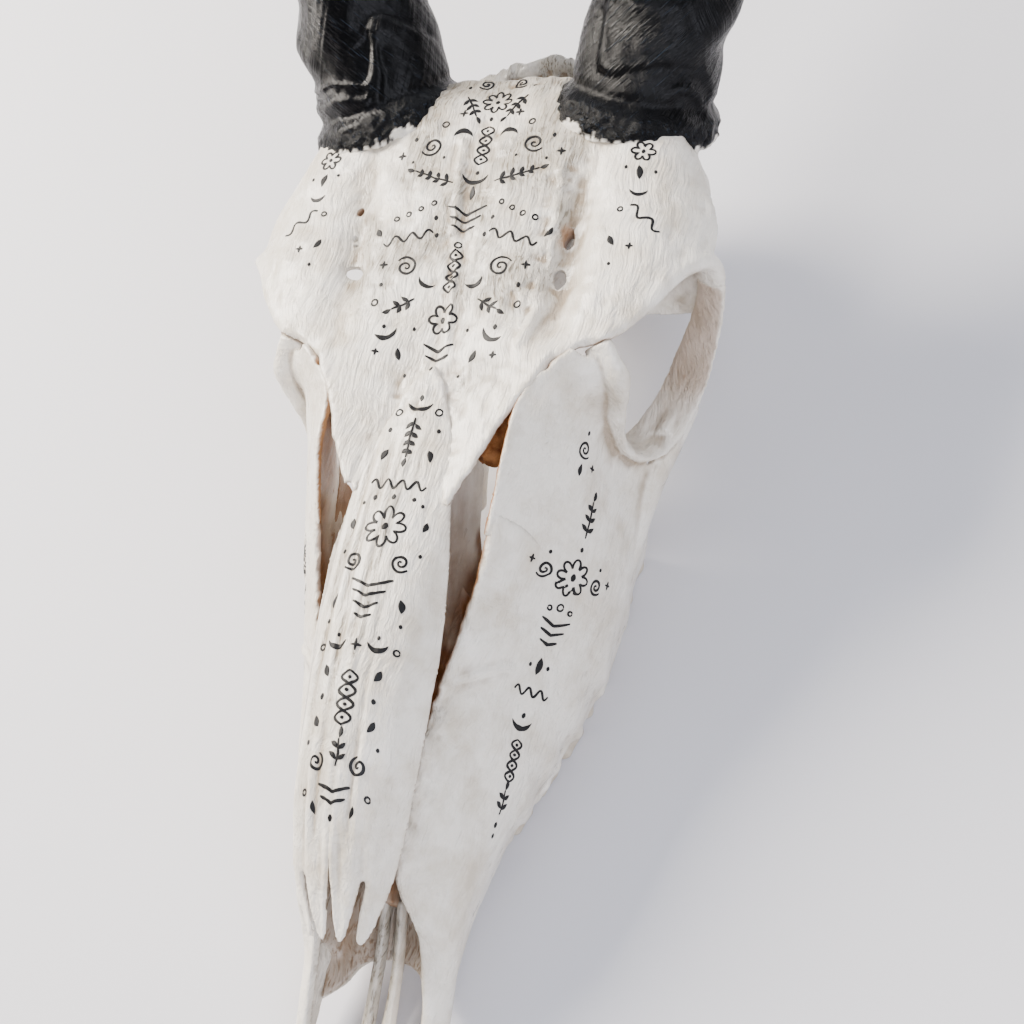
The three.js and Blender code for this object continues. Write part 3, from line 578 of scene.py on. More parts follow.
def frontal_shells():
    """Forehead and brow plates, rims, horn stumps, their shoulders and the core over the brain."""
    shells = []
    for flip in (1, -1):
        v = np.linspace(-0.15, 3.2, 160)
        front = ragged(v, 0.13, 3 + flip) - 0.22 * np.exp(-(v / 0.8) ** 2)
        u, vv = mesh_grid(front, 6, -0.15, 3.2, 120, 160)
        forehead = plate(FOREHEAD, u, vv, THIN_WALL + 6.4 * np.clip(u / 2.5, 0, 1))
        v = np.linspace(-0.3, 3, 70)
        u, vv = mesh_grid(ragged(v, 0.05, 9 + flip) - 0.06, 5, -0.3, 3, 110, 70)
        brow = plate(BROW, u, vv, (THIN_WALL + 5.4 * np.clip(u / 1.5, 0, 1)) * (1 - vv / 3) + 5 * vv / 3)
        stump_line = [HORN_BASE + horn_axis * reach for reach in STUMP_REACH]
        radius = np.interp(np.linspace(0, 2, 12), STUMP_AT, STUMP_RADIUS)
        stump = bar(stump_line, (0, 2), 12, radius, radius, (1, 0, 0), sides=40)
        shoulder = ball((57, 333, 120), (25, 26, 16))
        u, vv = mesh_grid(0, 2, 0, 3, 50, 60)
        socket = plate(SOCKET_WALL, u, vv, -SOCKET_WALL_THICK)
        shells += on_side(flip, [forehead, brow, socket, rim_bar(-0.35, RIM_SPLIT, 60), stump, shoulder])
    share = np.linspace(0, 1, 16)
    return shells + [bar(BRAIN_CORE, (0, 3), 16, 30 + 16 * share, 9 + 6 * share, (1, 0, 0), sides=40)]


def bump(points, centre, radius, height):
    """Rounded lump, or a pit where height is negative, that fades with the distance squared."""
    away = ((points - centre) ** 2).sum(1) / radius ** 2
    return height * np.exp(-away)


def bone_grain(points):
    """Unevenness that all the bones share, from broad waves to fine long strokes."""
    long = points * [1, 0.22, 1]
    return (0.45 * noise(points, 26, 1) + 0.22 * noise(points, 10, 2) + 0.13 * noise(long, 3.4, 3)
            + 0.06 * noise(points, 1.9, 4))


MIDDLE_RIDGE = [(-8, 344, 141), (-5, 322, 137), (-1, 300, 132), (3, 278, 127), (3, 262, 122)]
GROOVE_RIDGE = [
    (33, 330, 139), (36, 318, 137), (35, 304, 134), (36, 290, 131), (35, 276, 128.5), (32, 262, 125),
]
FRONTAL_LUMPS = [  # place, radius, height
    ((-44, 318, 132), 5, -1.2), ((-43, 305, 131), 4.5, -1.0), ((-39.5, 291.5, 129), 6, -1.4),
    ((38.8, 306.5, 131), 6.5, -1.6), ((39.8, 288.5, 129), 6.5, -1.6),
    ((66, 300, 133), 12, 0.9), ((-66, 300, 133), 12, 0.9),
    ((82, 322, 126), 9, 0.8), ((-82, 322, 126), 9, 0.8),
]


def crackle(points, size, seed):
    """Wrinkled skin: folded noise, high along wandering lines and flat between them."""
    return 1 - 2.4 * np.abs(noise(points, size, seed)) - 0.6 * np.abs(noise(points, size / 2.3, seed + 1))


def frontal_relief(points, normals):
    """Groove over each eye that ends in holes, a wavering ridge down the middle, crinkles beside the
    left groove and where the nasals begin, pits and lumps."""
    x, y = points.T[:2]
    upper = smooth_step(normals[:, 2], 0.1, 0.5)
    groove = np.exp(-((np.abs(x) - 41) / 6.5) ** 2) * within(y, 254, 282, 318, 350)
    rough = noise(points, 4.2, 7) * noise(points, 15, 8)
    beside = np.exp(-((x - 33) / 7) ** 2) * within(y, 262, 275, 326, 340)
    root = np.exp(-(x / 16) ** 2) * (1 - smooth_step(y, 252, 264)) + 0.5 * smooth_step(y, 362, 374)
    centre = np.exp(-(x / 26) ** 2) * within(y, 262, 280, 345, 365)
    total = 1.25 * bone_grain(points) + upper * (0.7 * rough - 2.9 * groove * np.where(x > 0, 1.25, 0.8))
    total += upper * (0.7 * beside + 0.8 * root + 0.32 * centre) * crackle(points, 5.2, 64)
    total += upper * (ridge(points, MIDDLE_RIDGE, 1.7, 1.3) + ridge(points, GROOVE_RIDGE, 1.9, 1.7))
    for centre, radius, height in FRONTAL_LUMPS:
        total = total + bump(points, np.array(centre), radius, height)
    return total


def frontal_stain_and_shade(points, normals):
    """A grey wash, blotched, over the middle of the forehead, and the same grey as painted shade along the
    grooves, beside the horns and at both ends.
    """
    x, y = points.T[:2]
    middle = within(y, 262, 288, 345, 368) * (1 - smooth_step(np.abs(x), 26, 46))
    # painted shade: the grooves, the ground beside the horns, the dip where the nasals begin and the crown
    groove = np.exp(-((np.abs(x) - 37) / 8) ** 2) * within(y, 270, 290, 325, 350)
    horns = np.exp(-((np.abs(x) - 36) / 12) ** 2) * within(y, 335, 352, 372, 384)
    blotch = np.clip(0.42 + 0.9 * noise(points, 19, 61) + 0.6 * noise(points * [1, 0.5, 1], 7, 62), 0, 1)
    ends = smooth_step(y, 350, 372) + np.exp(-((y - 252) / 9) ** 2) * (1 - smooth_step(np.abs(x), 18, 30))
    return np.clip(blotch * (1.7 * middle + 1.3 * groove + 1.1 * horns + ends), 0, 1)


def drill(centre, direction, radii, seed):
    """Cutter for a hole: a short bar with an uneven oval section."""
    direction = unit(np.array(direction, float))
    ends = [np.array(centre) - direction * 16, np.array(centre), np.array(centre) + direction * 12]
    shell, faces = bar(ends, (0, 2), 9, radii[0], radii[1], (0, 1, 0.2), sides=28)
    return shell + 0.5 * np.stack([noise(shell, 3, seed + k) for k in range(3)], 1), faces


FRONTAL_HOLES = [  # three small ones and a large one over the right eye, two large ones over the left
    drill((-44.1, 317.6, 131.5), (0.15, -0.1, 1), (1.7, 1.4), 1),
    drill((-43.8, 306.4, 131), (-0.3, 0.2, 1), (1.2, 0.9), 2),
    drill((-42.6, 303.8, 131), (-0.2, 0.2, 1), (0.7, 0.9), 3),
    drill((-39.6, 291.2, 128.5), (0.36, -0.52, 0.77), (2.6, 3.5), 4),
    drill((38.8, 306.5, 131), (0.1, 0.1, 1), (4.4, 1.9), 5),
    drill((39.8, 288.3, 129), (0.36, -0.52, 0.77), (3.8, 2.3), 6),
]
BROWN_HOLES = [(-44.1, 317.6, 127), (38.8, 306.5, 127)]  # those whose walls show bare bone


def underside(points, normals, back, amount=1.0):
    """Bare bone on faces that look down, in front of a line across the skull."""
    ahead = 1 - smooth_step(points[:, 1], back - 8, back + 8)
    return amount * smooth_step(-normals[:, 2], 0.1, 0.5) * ahead


def frontal_raw(points, normals):
    """Bare bone underneath, and brown walls in the holes over the eyes."""
    at_holes = np.minimum(*[np.linalg.norm(points - hole, axis=1) for hole in BROWN_HOLES])
    walls = (1 - smooth_step(at_holes, 5, 8)) * (1 - smooth_step(normals[:, 2], 0.55, 0.8))
    return np.clip(underside(points, normals, 268) + 0.75 * walls, 0, 1)


bone("frontal_bone", frontal_shells(), ["frontal"], painted_bone, voxel=1.0, rounds=6,
     relief=frontal_relief, raw=frontal_raw, stain=frontal_stain_and_shade, cutters=FRONTAL_HOLES)

# Nasal bones. Two long thin plates over the nose, fluted lengthwise, whose ends are notched into two
# prongs each. Painted bone that lies against the forehead's tongues. Plate and prongs follow one net.
NASAL = [
    [[0.2, 247, 117.6], [3, 246, 117.4], [6, 243.5, 117], [8.5, 240, 116]],
    [[0.2, 229, 116], [5, 229, 115.8], [10, 227, 114.6], [14.5, 223, 112.5]],
    [[0.2, 208, 113.2], [6, 208, 113], [12, 207, 111.5], [17.2, 205, 108.8]],
    [[0.2, 185, 110.8], [7, 185, 110.3], [14, 185, 107.3], [20, 185, 102.5]],
    [[0.2, 165, 107.5], [7.5, 165, 106.7], [15, 164, 102.5], [20.5, 163, 93.5]],
    [[0.2, 146, 102.5], [7.5, 146, 101.5], [15, 145.5, 96.5], [19.8, 145, 86.5]],
    [[0.2, 126, 95.4], [7.5, 126, 94.3], [14.5, 125, 89], [19, 124, 79]],
    [[0.2, 108, 87], [7, 107, 85.5], [13.5, 106, 80], [17.6, 105, 71]],
    [[1.2, 91, 75.5], [6.5, 90.5, 73.5], [11.5, 90, 70], [15.4, 91, 65]],
    [[1.0, 72.6, 61.4], [3.8, 72.4, 60.6], [6.6, 72.8, 59.6], [9.4, 74, 58.2]],
]
PRONGS = [  # low and high column of each prong's plate from its root to its rounded tip
    ([-0.34, -0.25, -0.08, 0.02, 0.35], [1.8, 1.5, 1.4, 1.25, 0.8]),
    ([1.45, 1.8, 1.85, 2.0, 2.3], [3.0, 3.0, 3.0, 3.0, 2.75]),
]
PRONG_AT = [0, 1, 2, 2.75, 3]
PRONG_ROOT, PRONG_ROWS = 7.6, 1.4  # row of the net where the prongs start, and how many rows they cover


def nasal_shells():
    """Plate of one nasal with its two prongs in front. It laps a little over the middle line."""
    u, v = mesh_grid(-0.4, 7.9, -0.34, 3, 190, 50)
    shells = [plate(NASAL, u, v, 3.2 - 0.8 * u / 8)]
    share = np.linspace(0, 3, 60)[:, None]
    for low, high in PRONGS:
        edge_low, edge_high = (np.interp(share, PRONG_AT, edge) for edge in (low, high))
        v = edge_low + (edge_high - edge_low) * np.linspace(0, 1, 20)[None, :]
        u = PRONG_ROOT + PRONG_ROWS * share / 3 + 0 * v
        shells.append(plate(NASAL, u, v, 2.4 - 0.7 * share / 3 + 0 * v))
    return shells


NASAL_EDGE = [(20.3, 150, 86), (19.8, 135, 80), (18.6, 117, 72), (16.8, 100, 66), (14.5, 90, 63)]
FLUTE_MM, FINE_FLUTE_MM = 6.4, 3.6


def on_left(points):
    """The points, those of the skull's right mirrored to its left."""
    return np.concatenate([np.abs(points[:, :1]), points[:, 1:]], 1)


def flutes(points):
    """Long waves across the nasals, of two widths that wander, from -1.4 to 1.4."""
    x = np.abs(points[:, 0])
    wander = 2.0 * noise(points * [0.3, 1, 0.3], 38, 11)
    broad = np.cos((x - 3.2 + wander) * 2 * np.pi / FLUTE_MM)
    return broad + 0.45 * np.cos((x - wander) * 2 * np.pi / FINE_FLUTE_MM)


def nasal_relief(points, normals):
    """Flutes on the upper face, deep on the skull's right and near the middle, faint on the smooth
    outer half of the left bone; a lumpy ridge down the middle; a crust along the outer edge."""
    x, y = points.T[:2]
    upper = smooth_step(normals[:, 2], 0.0, 0.4)
    depth = within(y, 80, 104, 205, 240) * (1 - 0.85 * smooth_step(x, 6, 10))
    depth *= 0.75 + 0.6 * noise(points * [1, 0.25, 1], 9, 16)
    tip = 1 - smooth_step(y, 92, 104)
    channel = np.cos((np.abs(x) - np.where(np.abs(x) < 6.2, 3.2, 10)) * 2 * np.pi / 6.5)
    middle = np.exp(-((x - 0.4 + noise(points, 12, 13)) / 1.5) ** 2)
    middle *= 0.45 + 0.75 * noise(points, 4.5, 12)
    crust = np.exp(-(near_line(on_left(points), NASAL_EDGE) / 2.6) ** 2)
    root = smooth_step(y, 226, 242) * crackle(points, 5.2, 64) * 0.5
    return (0.8 * bone_grain(points) + upper * (0.42 * depth * flutes(points) - 0.35 * tip * channel)
            + upper * (middle * smooth_step(y, 96, 112) + root) + 0.9 * crust * noise(points, 3.2, 14))


def nasal_flute_shade_and_dirt(points, normals):
    """Painted shade, grey and brown, in the valleys of the flutes on the skull's right and near the middle,
    partly as streaks of grime.
    """
    x, y = points.T[:2]
    # painted shade: only where the flutes dip does the paint turn grey
    low = np.clip(0.55 - 0.6 * flutes(points), 0, 1) * (1 - smooth_step(x, 3, 8)) * smooth_step(y, 88, 110)
    return np.clip(low * (1 - smooth_step(y, 205, 235)) * (0.9 + 0.5 * noise(points, 18, 15)), 0, 1)


for side, name in SIDES:
    shells = on_side(side, nasal_shells())
    bone(f"nasal_bone_{name}", shells, [f"nasal_{name}"], painted_bone, voxel=0.8, rounds=4,
         relief=nasal_relief, raw=lambda p, n: underside(p, n, 400, 0.7), stain=nasal_flute_shade_and_dirt)

# Upper jaws. Each is a tall cheek plate that carries the palate and the ledge with the tooth sockets,
# painted outside and bare brown bone inside the nose. The plates follow the nets of cheek and palate.
CHEEK = [  # rows from the snout's tip to the eye, columns from the nose's edge down to the teeth
    [[3.3, 3, 14], [5.5, 2.5, 14], [8, 2.5, 13.5], [10.5, 3.5, 12.8], [13, 6, 11.5]],
    [[8, 14, 16.5], [10.5, 12.5, 16], [14, 11.5, 14.8], [17.5, 12, 13.2], [20, 14, 11]],
    [[16, 29, 19], [18.5, 28.5, 18.5], [21.5, 28, 17], [24, 28, 14.8], [25.2, 29, 12]],
    [[19.5, 46, 23.5], [22.3, 45.5, 22.5], [24.4, 45.5, 20.5], [25.4, 45.5, 17.5], [24.6, 46, 13.5]],
    [[20.5, 62, 31], [23.6, 61.5, 29], [25.6, 61.5, 25.5], [26.2, 61.5, 21], [24.4, 61.5, 15]],
    [[19, 80, 44], [23, 77, 38], [26, 75, 32], [26.6, 74, 25.5], [24.2, 73, 17.5]],
    [[17.3, 92, 62.5], [23, 88, 53], [27, 85, 41], [27.4, 83, 30], [24, 82, 20]],
    [[18, 111, 73], [25.5, 108, 62], [30.4, 106, 48], [30.4, 105, 34], [26.6, 104, 21.5]],
    [[19.6, 130, 79.5], [29.5, 130, 67], [35.4, 129, 51], [36.4, 129, 36], [33.3, 129, 22]],
    [[20.6, 145, 83], [33, 148, 71], [40, 149, 54], [42.6, 150, 37], [41.2, 150, 22]],
    [[27, 172, 93], [38, 173, 77], [47, 174, 58], [51.5, 175, 40], [50, 175, 22]],
    [[31.5, 196, 104], [43, 197, 85], [53, 198, 64], [57.5, 199, 43], [54.5, 199, 23]],
    [[35, 221, 117.5], [47, 222, 97], [57.5, 223, 71], [61.5, 223, 46], [56.5, 223, 24.5]],
    [[37, 243, 122.5], [51, 248, 112], [57, 248, 80], [63.5, 248, 55], [57.5, 246, 27]],
    [[51, 260, 125.4], [60, 259, 113], [56.8, 254.5, 86], [65, 258, 64], [60, 262, 38]],
]
SNOUT_SEAM, JAW_END, JAW_TOP = 6.0, 11.2, 3.0  # rows and column of the net where bones meet
REAR_THICK, PALATE_THICK, SNOUT_THICK = 5.0, 4.0, 3.4
LAP = 0.14  # share of a row by which painted bones lap over one another, so that the paint hides the seam
PALATE = [  # rows from front to back, columns from the middle outwards
    [[0.15, 81, 17], [6, 80.5, 16.5], [11, 77, 16], [15, 70, 15.5], [22, 63, 16]],
    [[0.15, 104, 24], [8, 104, 23], [15, 104, 21.5], [20, 104, 20.5], [25, 104, 21]],
    [[0.15, 130, 28], [8, 130, 27.5], [16, 130, 26], [24, 130, 23.5], [31, 130, 22]],
    [[0.15, 165, 31], [9, 165, 30.5], [18, 165, 29], [28, 165, 25.5], [43, 165, 23]],
    [[0.15, 205, 32], [9, 205, 31.5], [18, 205, 30], [31, 205, 26.5], [49, 205, 24]],
    [[0.15, 232, 32], [9, 235, 31.5], [17, 244, 31], [33, 247, 28], [49, 247, 26]],
]


def gum_point(y):
    """Point of the cheek net's lowest column at each y."""
    t = np.linspace(7, 14, 400)
    line = surface(CHEEK, t, np.full(400, 4.0))
    return np.stack([np.interp(y, line[:, 1], line[:, axis]) for axis in range(3)], -1)


def maxilla_shells():
    """Cheek plate in two parts, palate and tooth ledge of one side."""
    u, v = mesh_grid(SNOUT_SEAM - LAP, JAW_END + LAP, 0, 4, 130, 90)
    front = plate(CHEEK, u, v, THIN_WALL + 1.6 * np.clip(v - 2, 0, 2))
    u, v = mesh_grid(JAW_END - 1, 13.4, JAW_TOP - LAP, 4, 60, 24)
    rear = plate(CHEEK, u, v, REAR_THICK)
    u, v = mesh_grid(0.05, 5, 0, 4, 130, 60)
    palate = plate(PALATE, u, v, -PALATE_THICK)
    y = np.array([130.0, 165, 200, 235, 256])
    line = gum_point(np.minimum(y, 246)) * [1, 0, 0] + np.stack([y * 0 - 12, y, y * 0 + 31], 1)
    ledge = bar(line, (0, 4), 40, np.linspace(9, 11.5, 40), 8.5, (1, 0, 0), sides=32)
    return [front, rear, palate, ledge]


TOOTH_LENGTHS = [15, 16.5, 17.5, 22.5, 26, 27]
TOOTH_START = 131.0
tooth_middles = TOOTH_START + np.cumsum(TOOTH_LENGTHS) - np.array(TOOTH_LENGTHS) / 2
JAW_CRACK = [(23, 150, 87), (28, 156, 83), (32, 162, 79), (36.5, 165.5, 76), (38, 167, 72)]
SNOUT_SUTURE = [(22, 101.5, 61), (25, 98.5, 56), (27, 95.4, 50), (28.6, 93.5, 42), (28.9, 91, 32)]
NOSE_EDGE = [(21, 150, 84), (20.2, 138, 81.5), (19.4, 128, 79), (18.5, 113, 73.5), (17.6, 97, 65)]
CHEEK_CREST = [(50, 243, 114), (42, 222, 104), (36, 196, 95), (32, 170, 84)]
CHEEK_VALLEY = [(59, 250, 92), (55, 226, 80), (47, 196, 72), (38, 160, 60)]


def maxilla_relief(points, normals):
    """Swellings over the tooth roots, pores low on the cheek, a crest over a shallow valley, a raised
    crack, the faint line where the snout bone ends, a crust along the nose and broken tooth sockets."""
    x, y, z = points.T
    left = on_left(points)
    outside = smooth_step(normals[:, 0] * np.sign(x), 0.1, 0.6)
    roots = sum(np.exp(-((y - middle) / 5.5) ** 2) for middle in tooth_middles)
    low = 1 - smooth_step(z, 30, 48)
    pores = np.clip(noise(points, 2.6, 21) - 0.25, 0, 1) * (1 - smooth_step(z, 36, 60))
    crust = np.exp(-(near_line(left, NOSE_EDGE) / 4.0) ** 2)
    sockets = np.exp(-((z - 22.5) / 2.6) ** 2) * within(y, 118, 132, 205, 225)
    crest = np.exp(-(near_line(left, CHEEK_CREST) / 9) ** 2)
    valley = np.exp(-(near_line(left, CHEEK_VALLEY) / 11) ** 2)
    swellings = 1.1 * roots * low - 0.6 * pores + 1.6 * crest - 1.0 * valley
    total = 1.2 * bone_grain(points) + outside * swellings
    total += outside * (ridge(left, JAW_CRACK, 1.1, 1.1) + ridge(left, SNOUT_SUTURE, 1.2, 0.55))
    return total + 1.1 * crust * noise(points, 3.0, 24) + 1.5 * sockets * noise(points, 4.2, 25)


def inside_nose(points, normals):
    """Bare bone on the faces of cheek and palate that look into the nose, paler towards the snout."""
    x, y, z = points.T
    inward = smooth_step(-normals[:, 0] * np.sign(x), 0.15, 0.5) * smooth_step(z, 26, 34)
    floor_up = smooth_step(normals[:, 2], 0.3, 0.6) * (1 - smooth_step(z, 36, 44))
    floor_up *= 1 - smooth_step(np.abs(x), 34, 40)
    bare = inward * (0.1 + 0.9 * smooth_step(y, 100, 134))
    bare += floor_up * (0.35 + 0.65 * smooth_step(y, 104, 140))
    return np.clip(bare, 0, 1) * np.clip(0.86 + 0.3 * noise(points, 14, 26), 0, 1)


def jaw_stain_and_shade(points, normals):
    """Grey-brown along the crusted edge of the nose and on the front of the palate, and painted shade,
    grey-brown, on the walls inside the snout.
    """
    x, y, z = points.T
    edge = np.exp(-(near_line(on_left(points), NOSE_EDGE) / 5) ** 2)
    front = (1 - smooth_step(y, 112, 140)) * (1 - smooth_step(z, 28, 46))
    front *= smooth_step(normals[:, 2], 0.1, 0.5)
    # painted shade: walls that look into the front of the snout are greyed
    walls = 0.5 * (1 - smooth_step(y, 110, 140)) * smooth_step(-normals[:, 0] * np.sign(x), 0.1, 0.5)
    return np.clip(0.7 * edge * (0.6 + noise(points, 5, 27)) + 1.2 * front + walls, 0, 1)


for side, name in SIDES:
    shells = on_side(side, maxilla_shells())
    bone(f"upper_jaw_{name}", shells, [f"maxilla_{name}"], painted_bone, voxel=1.1,
         rounds=4, relief=maxilla_relief, raw=inside_nose, stain=jaw_stain_and_shade)

# Cheek teeth. Six on each side, three small ones in front and three molars of two lobes, enamel over
# dentine, worn flat. Each is a prism that follows the jaw's edge, its root sunk in the ledge.
TOOTH_WIDTHS = [12, 14.5, 16, 19, 20.5, 19]
SMALL_TEETH = 3
ENAMEL, ENAMEL_BROWN, ENAMEL_MM = "#E6DFCF", "#A48B66", 3.846
# enamel: cream with brown blotches, and glossier than the bone
enamel, enamel_out = new_material("tooth_enamel")
enamel_at = node(enamel, "ShaderNodeTexCoord").outputs["Object"]
enamel_noise = node(enamel, "ShaderNodeTexNoise", {
    "Vector": enamel_at, "Scale": 1 / (ENAMEL_MM * MM), "Detail": 5.0})
enamel_colour = node(enamel, "ShaderNodeMix", {
    0: enamel_noise.outputs["Fac"], 6: linear(ENAMEL), 7: linear(ENAMEL_BROWN)}, data_type="RGBA")
enamel_shader = node(enamel, "ShaderNodeBsdfPrincipled", {
    "Base Color": enamel_colour.outputs[2], "Roughness": 0.32})
enamel.node_tree.links.new(enamel_shader.outputs[0], enamel_out.inputs[0])


def teeth_shells():
    """Each tooth is rings of a rounded oblong that narrows to the root; molars are pinched."""
    shells = []
    angle = np.linspace(0, 2 * np.pi, 56, endpoint=False)
    c, s = np.cos(angle), np.sin(angle)
    y = TOOTH_START
    for index, (long, wide) in enumerate(zip(TOOTH_LENGTHS, TOOTH_WIDTHS)):
        before, edge, after = gum_point(np.array([y, y + long / 2, y + long]))
        along = unit((after - before) * [1, 1, 0])
        inward = np.array([-along[1], along[0], 0])
        centre = np.array([edge[0], y + long / 2, 0]) + inward * (wide / 2 + 4)
        low = GROUND + (1.6 - index * 0.5 if index < SMALL_TEETH else 0)
        pinch = 1 - (0.05 if index < SMALL_TEETH else 0.2) * np.exp(-(c / 0.28) ** 2)
        ribs = 1 + 0.035 * np.cos(6 * angle)
        sides = [(34, 0.62), (27, 0.8), (edge[2] - 3, 0.95), (low + 5, 1.0), (low + 1, 0.98), (low, 0.92)]
        worn_face = [
            (low + 0.7, 0.74), (low + 0.3, 0.6), (low + 1.5, 0.42), (low + 0.6, 0.25), (low + 1.2, 0.1)]
        rings = []
        for height, size in sides + worn_face:
            lengthwise = (long / 2 - 0.15) * np.sign(c) * np.abs(c) ** 0.6 * size
            crosswise = wide / 2 * np.sign(s) * np.abs(s) ** 0.7 * size * pinch * ribs
            middle = np.array([centre[0], centre[1], height])
            rings.append(middle + lengthwise[:, None] * along + crosswise[:, None] * inward)
        shells.append(tube(np.array(rings)))
        y += long
    return shells


for side, name in SIDES:
    shells = on_side(side, teeth_shells())
    teeth = mesh_object(f"cheek_teeth_{name}", shells)
    finer = teeth.modifiers.new("finer", "SUBSURF")
    finer.levels = finer.render_levels = 1
    applied(teeth)
    teeth.data.polygons.foreach_set("use_smooth", np.ones(len(teeth.data.polygons), bool))
    teeth.data.materials.append(enamel)
    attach(teeth, "root")
    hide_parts(f"maxilla_{name}")

# Snout bones. A flat blade at the tip that stands up into a thin wall behind, with a rod beside the
# middle line that runs back to the palate. Painted bone: the front rows of the cheek's net, and a bar.
ROD = [[5.5, 8, 12.5], [4.2, 30, 13], [3.7, 55, 14.5], [3.4, 79, 21.5], [2.8, 99, 30.5]]


def premaxilla_shells():
    """Blade and rod of one side."""
    u, v = mesh_grid(0, SNOUT_SEAM + LAP, 0, 4, 110, 50)
    share = np.linspace(0, 1, 30)
    rod = bar(ROD, (0, 4), 30, 3.2 - 1.4 * share, 2 + 1.0 * share, (1, 0, 0))
    return [plate(CHEEK, u, v, SNOUT_THICK), rod]


def snout_relief(points, normals):
    """Fine grain, and a long channel on each rod."""
    x, _, z = points.T
    channel = np.exp(-((np.abs(x) - 4.2) / 1.1) ** 2) * (1 - smooth_step(z, 24, 30))
    return 0.8 * bone_grain(points) - 0.8 * channel * smooth_step(normals[:, 2], 0, 0.5)


def snout_stain_and_shade(points, normals):
    """Grey-brown on the rods, and painted shade, grey-brown, on the faces that look inwards."""
    x = points[:, 0]
    rods = (1 - smooth_step(np.abs(x), 6.5, 8)) * 1.4
    # painted shade: the faces that look into the nose are greyed
    inward = 0.45 * smooth_step(-normals[:, 0] * np.sign(x), 0.1, 0.6)
    return np.clip((rods + inward) * (0.8 + 0.6 * noise(points * [1, 0.2, 1], 2.5, 28)), 0, 1)


for side, name in SIDES:
    shells = on_side(side, premaxilla_shells())
    bone(f"snout_bone_{name}", shells, [f"premaxilla_{name}"], painted_bone, voxel=0.9,
         rounds=4, relief=snout_relief, raw=lambda p, n: 0.35 * underside(p, n, 400), stain=snout_stain_and_shade)

# Cheek bones. Tear bone and cheek bone in one: the wall in front of the eye, the bar behind it, the arch
# and the ridge for the chewing muscle. Painted outside, bare inside the nose. The wall follows the
# cheek's net, and the bar is a collar carried round the socket's rim.
COLLAR_AT = [6.4, 7.5, 9, 11, 12.5, 14, 16, 19]  # point of the rim
COLLAR_THICK = [3.3, 2.6, 1.9, 1.9, 2.3, 2.6, 2.8, 3.2]
COLLAR_DEEP = [6.5, 7.2, 8.8, 9.8, 9.6, 8.0, 6.5, 6.0]
COLLAR_INSET = [0.0, 0.6, 2.2, 3.2, 3.0, 1.5, 0.0, 0.0]
ARCH = [[69, 269, 67], [72.5, 286, 67.5], [73.2, 305, 68], [71, 325, 68.5], [65, 343, 68]]
MUSCLE_RIDGE = [
    [74.5, 284, 69], [71.8, 275, 65], [67.8, 264, 61], [63.5, 250, 55], [60.5, 236, 48], [57.5, 222, 42],
]
LOWER_LIP = [(60, 254, 82), (63, 257, 70), (70, 268, 66)]
CHEEK_LUMPS = [  # place, radius, height
    ((64, 258, 112), 6, 2.2), ((60, 254, 98), 5, 0.8), ((60.5, 258.5, 97), 1.7, 2.6),
    ((66, 255, 104), 3, 0.9), ((42, 253, 123.5), 1.2, -2.0), ((43.6, 257.4, 123.5), 1.0, -1.6),
]


def zygomatic_shells():
    """Face plate, lower rim with the bar behind the eye, arch and ridge of one side."""
    u, v = mesh_grid(JAW_END - LAP, 14, -0.05, JAW_TOP + LAP, 80, 70)
    face = plate(CHEEK, u, v, THIN_WALL + 1.9 * np.clip(v / 3, 0, 1))
    arch = bar(ARCH, (0, 4), 40, 3.2, 5.5, (1, 0, 0))
    share = np.linspace(0, 1, 40)
    crest = bar(MUSCLE_RIDGE, (0, 5), 40, 4.5 - 1.3 * share, 6.5 - 1.5 * share, (1, 0, 0))
    t = np.linspace(RIM_SPLIT - 0.12, len(RIM) - 0.4, 120)
    thick, deep = (np.interp(t, COLLAR_AT, sizes) for sizes in (COLLAR_THICK, COLLAR_DEEP))
    inset = np.interp(np.arange(len(RIM)), COLLAR_AT, COLLAR_INSET)[:, None]
    return [face, rim_bar(t[0], t[-1], 120, thick, deep, inset), arch, crest]


def zygomatic_raw(points, normals):
    """Bare inside the nose, and tan where the paint is thin inside the bar behind the eye."""
    x, y, z = points.T
    inward = smooth_step(-normals[:, 0] * np.sign(x), 0.15, 0.5)
    nose = inward * (1 - smooth_step(y, 252, 262)) * (1 - smooth_step(np.abs(x), 54, 60))
    to_middle = unit(np.mean(RIM, 0) - on_left(points))
    to_middle[:, 0] *= np.sign(x)
    faces_in = smooth_step((normals * to_middle).sum(1), 0.25, 0.6)
    bar_inside = 0.5 * faces_in * smooth_step(y, 264, 276) * smooth_step(z, 68, 80)
    specks = 0.7 * np.clip(noise(points, 2.2, 37) * 3 - 2.1, 0, 1) * inward
    return np.clip(nose + bar_inside + specks, 0, 1)


def zygomatic_relief(points, normals):
    """Lump of the tear bone at the socket's front edge with a spur below it, and a wrinkled lower lip."""
    left = on_left(points)
    total = bone_grain(points)
    for centre, radius, height in CHEEK_LUMPS:
        total = total + bump(left, np.array(centre), radius, height)
    lip = np.exp(-(near_line(left, LOWER_LIP) / 6) ** 2)
    return total + 0.35 * lip * crackle(points, 4.5, 36)


for side, name in SIDES:
    shells = on_side(side, zygomatic_shells())
    bone(f"cheek_bone_{name}", shells, [f"zygomatic_{name}"], painted_bone, voxel=1.0,
         rounds=5, relief=zygomatic_relief, raw=zygomatic_raw)

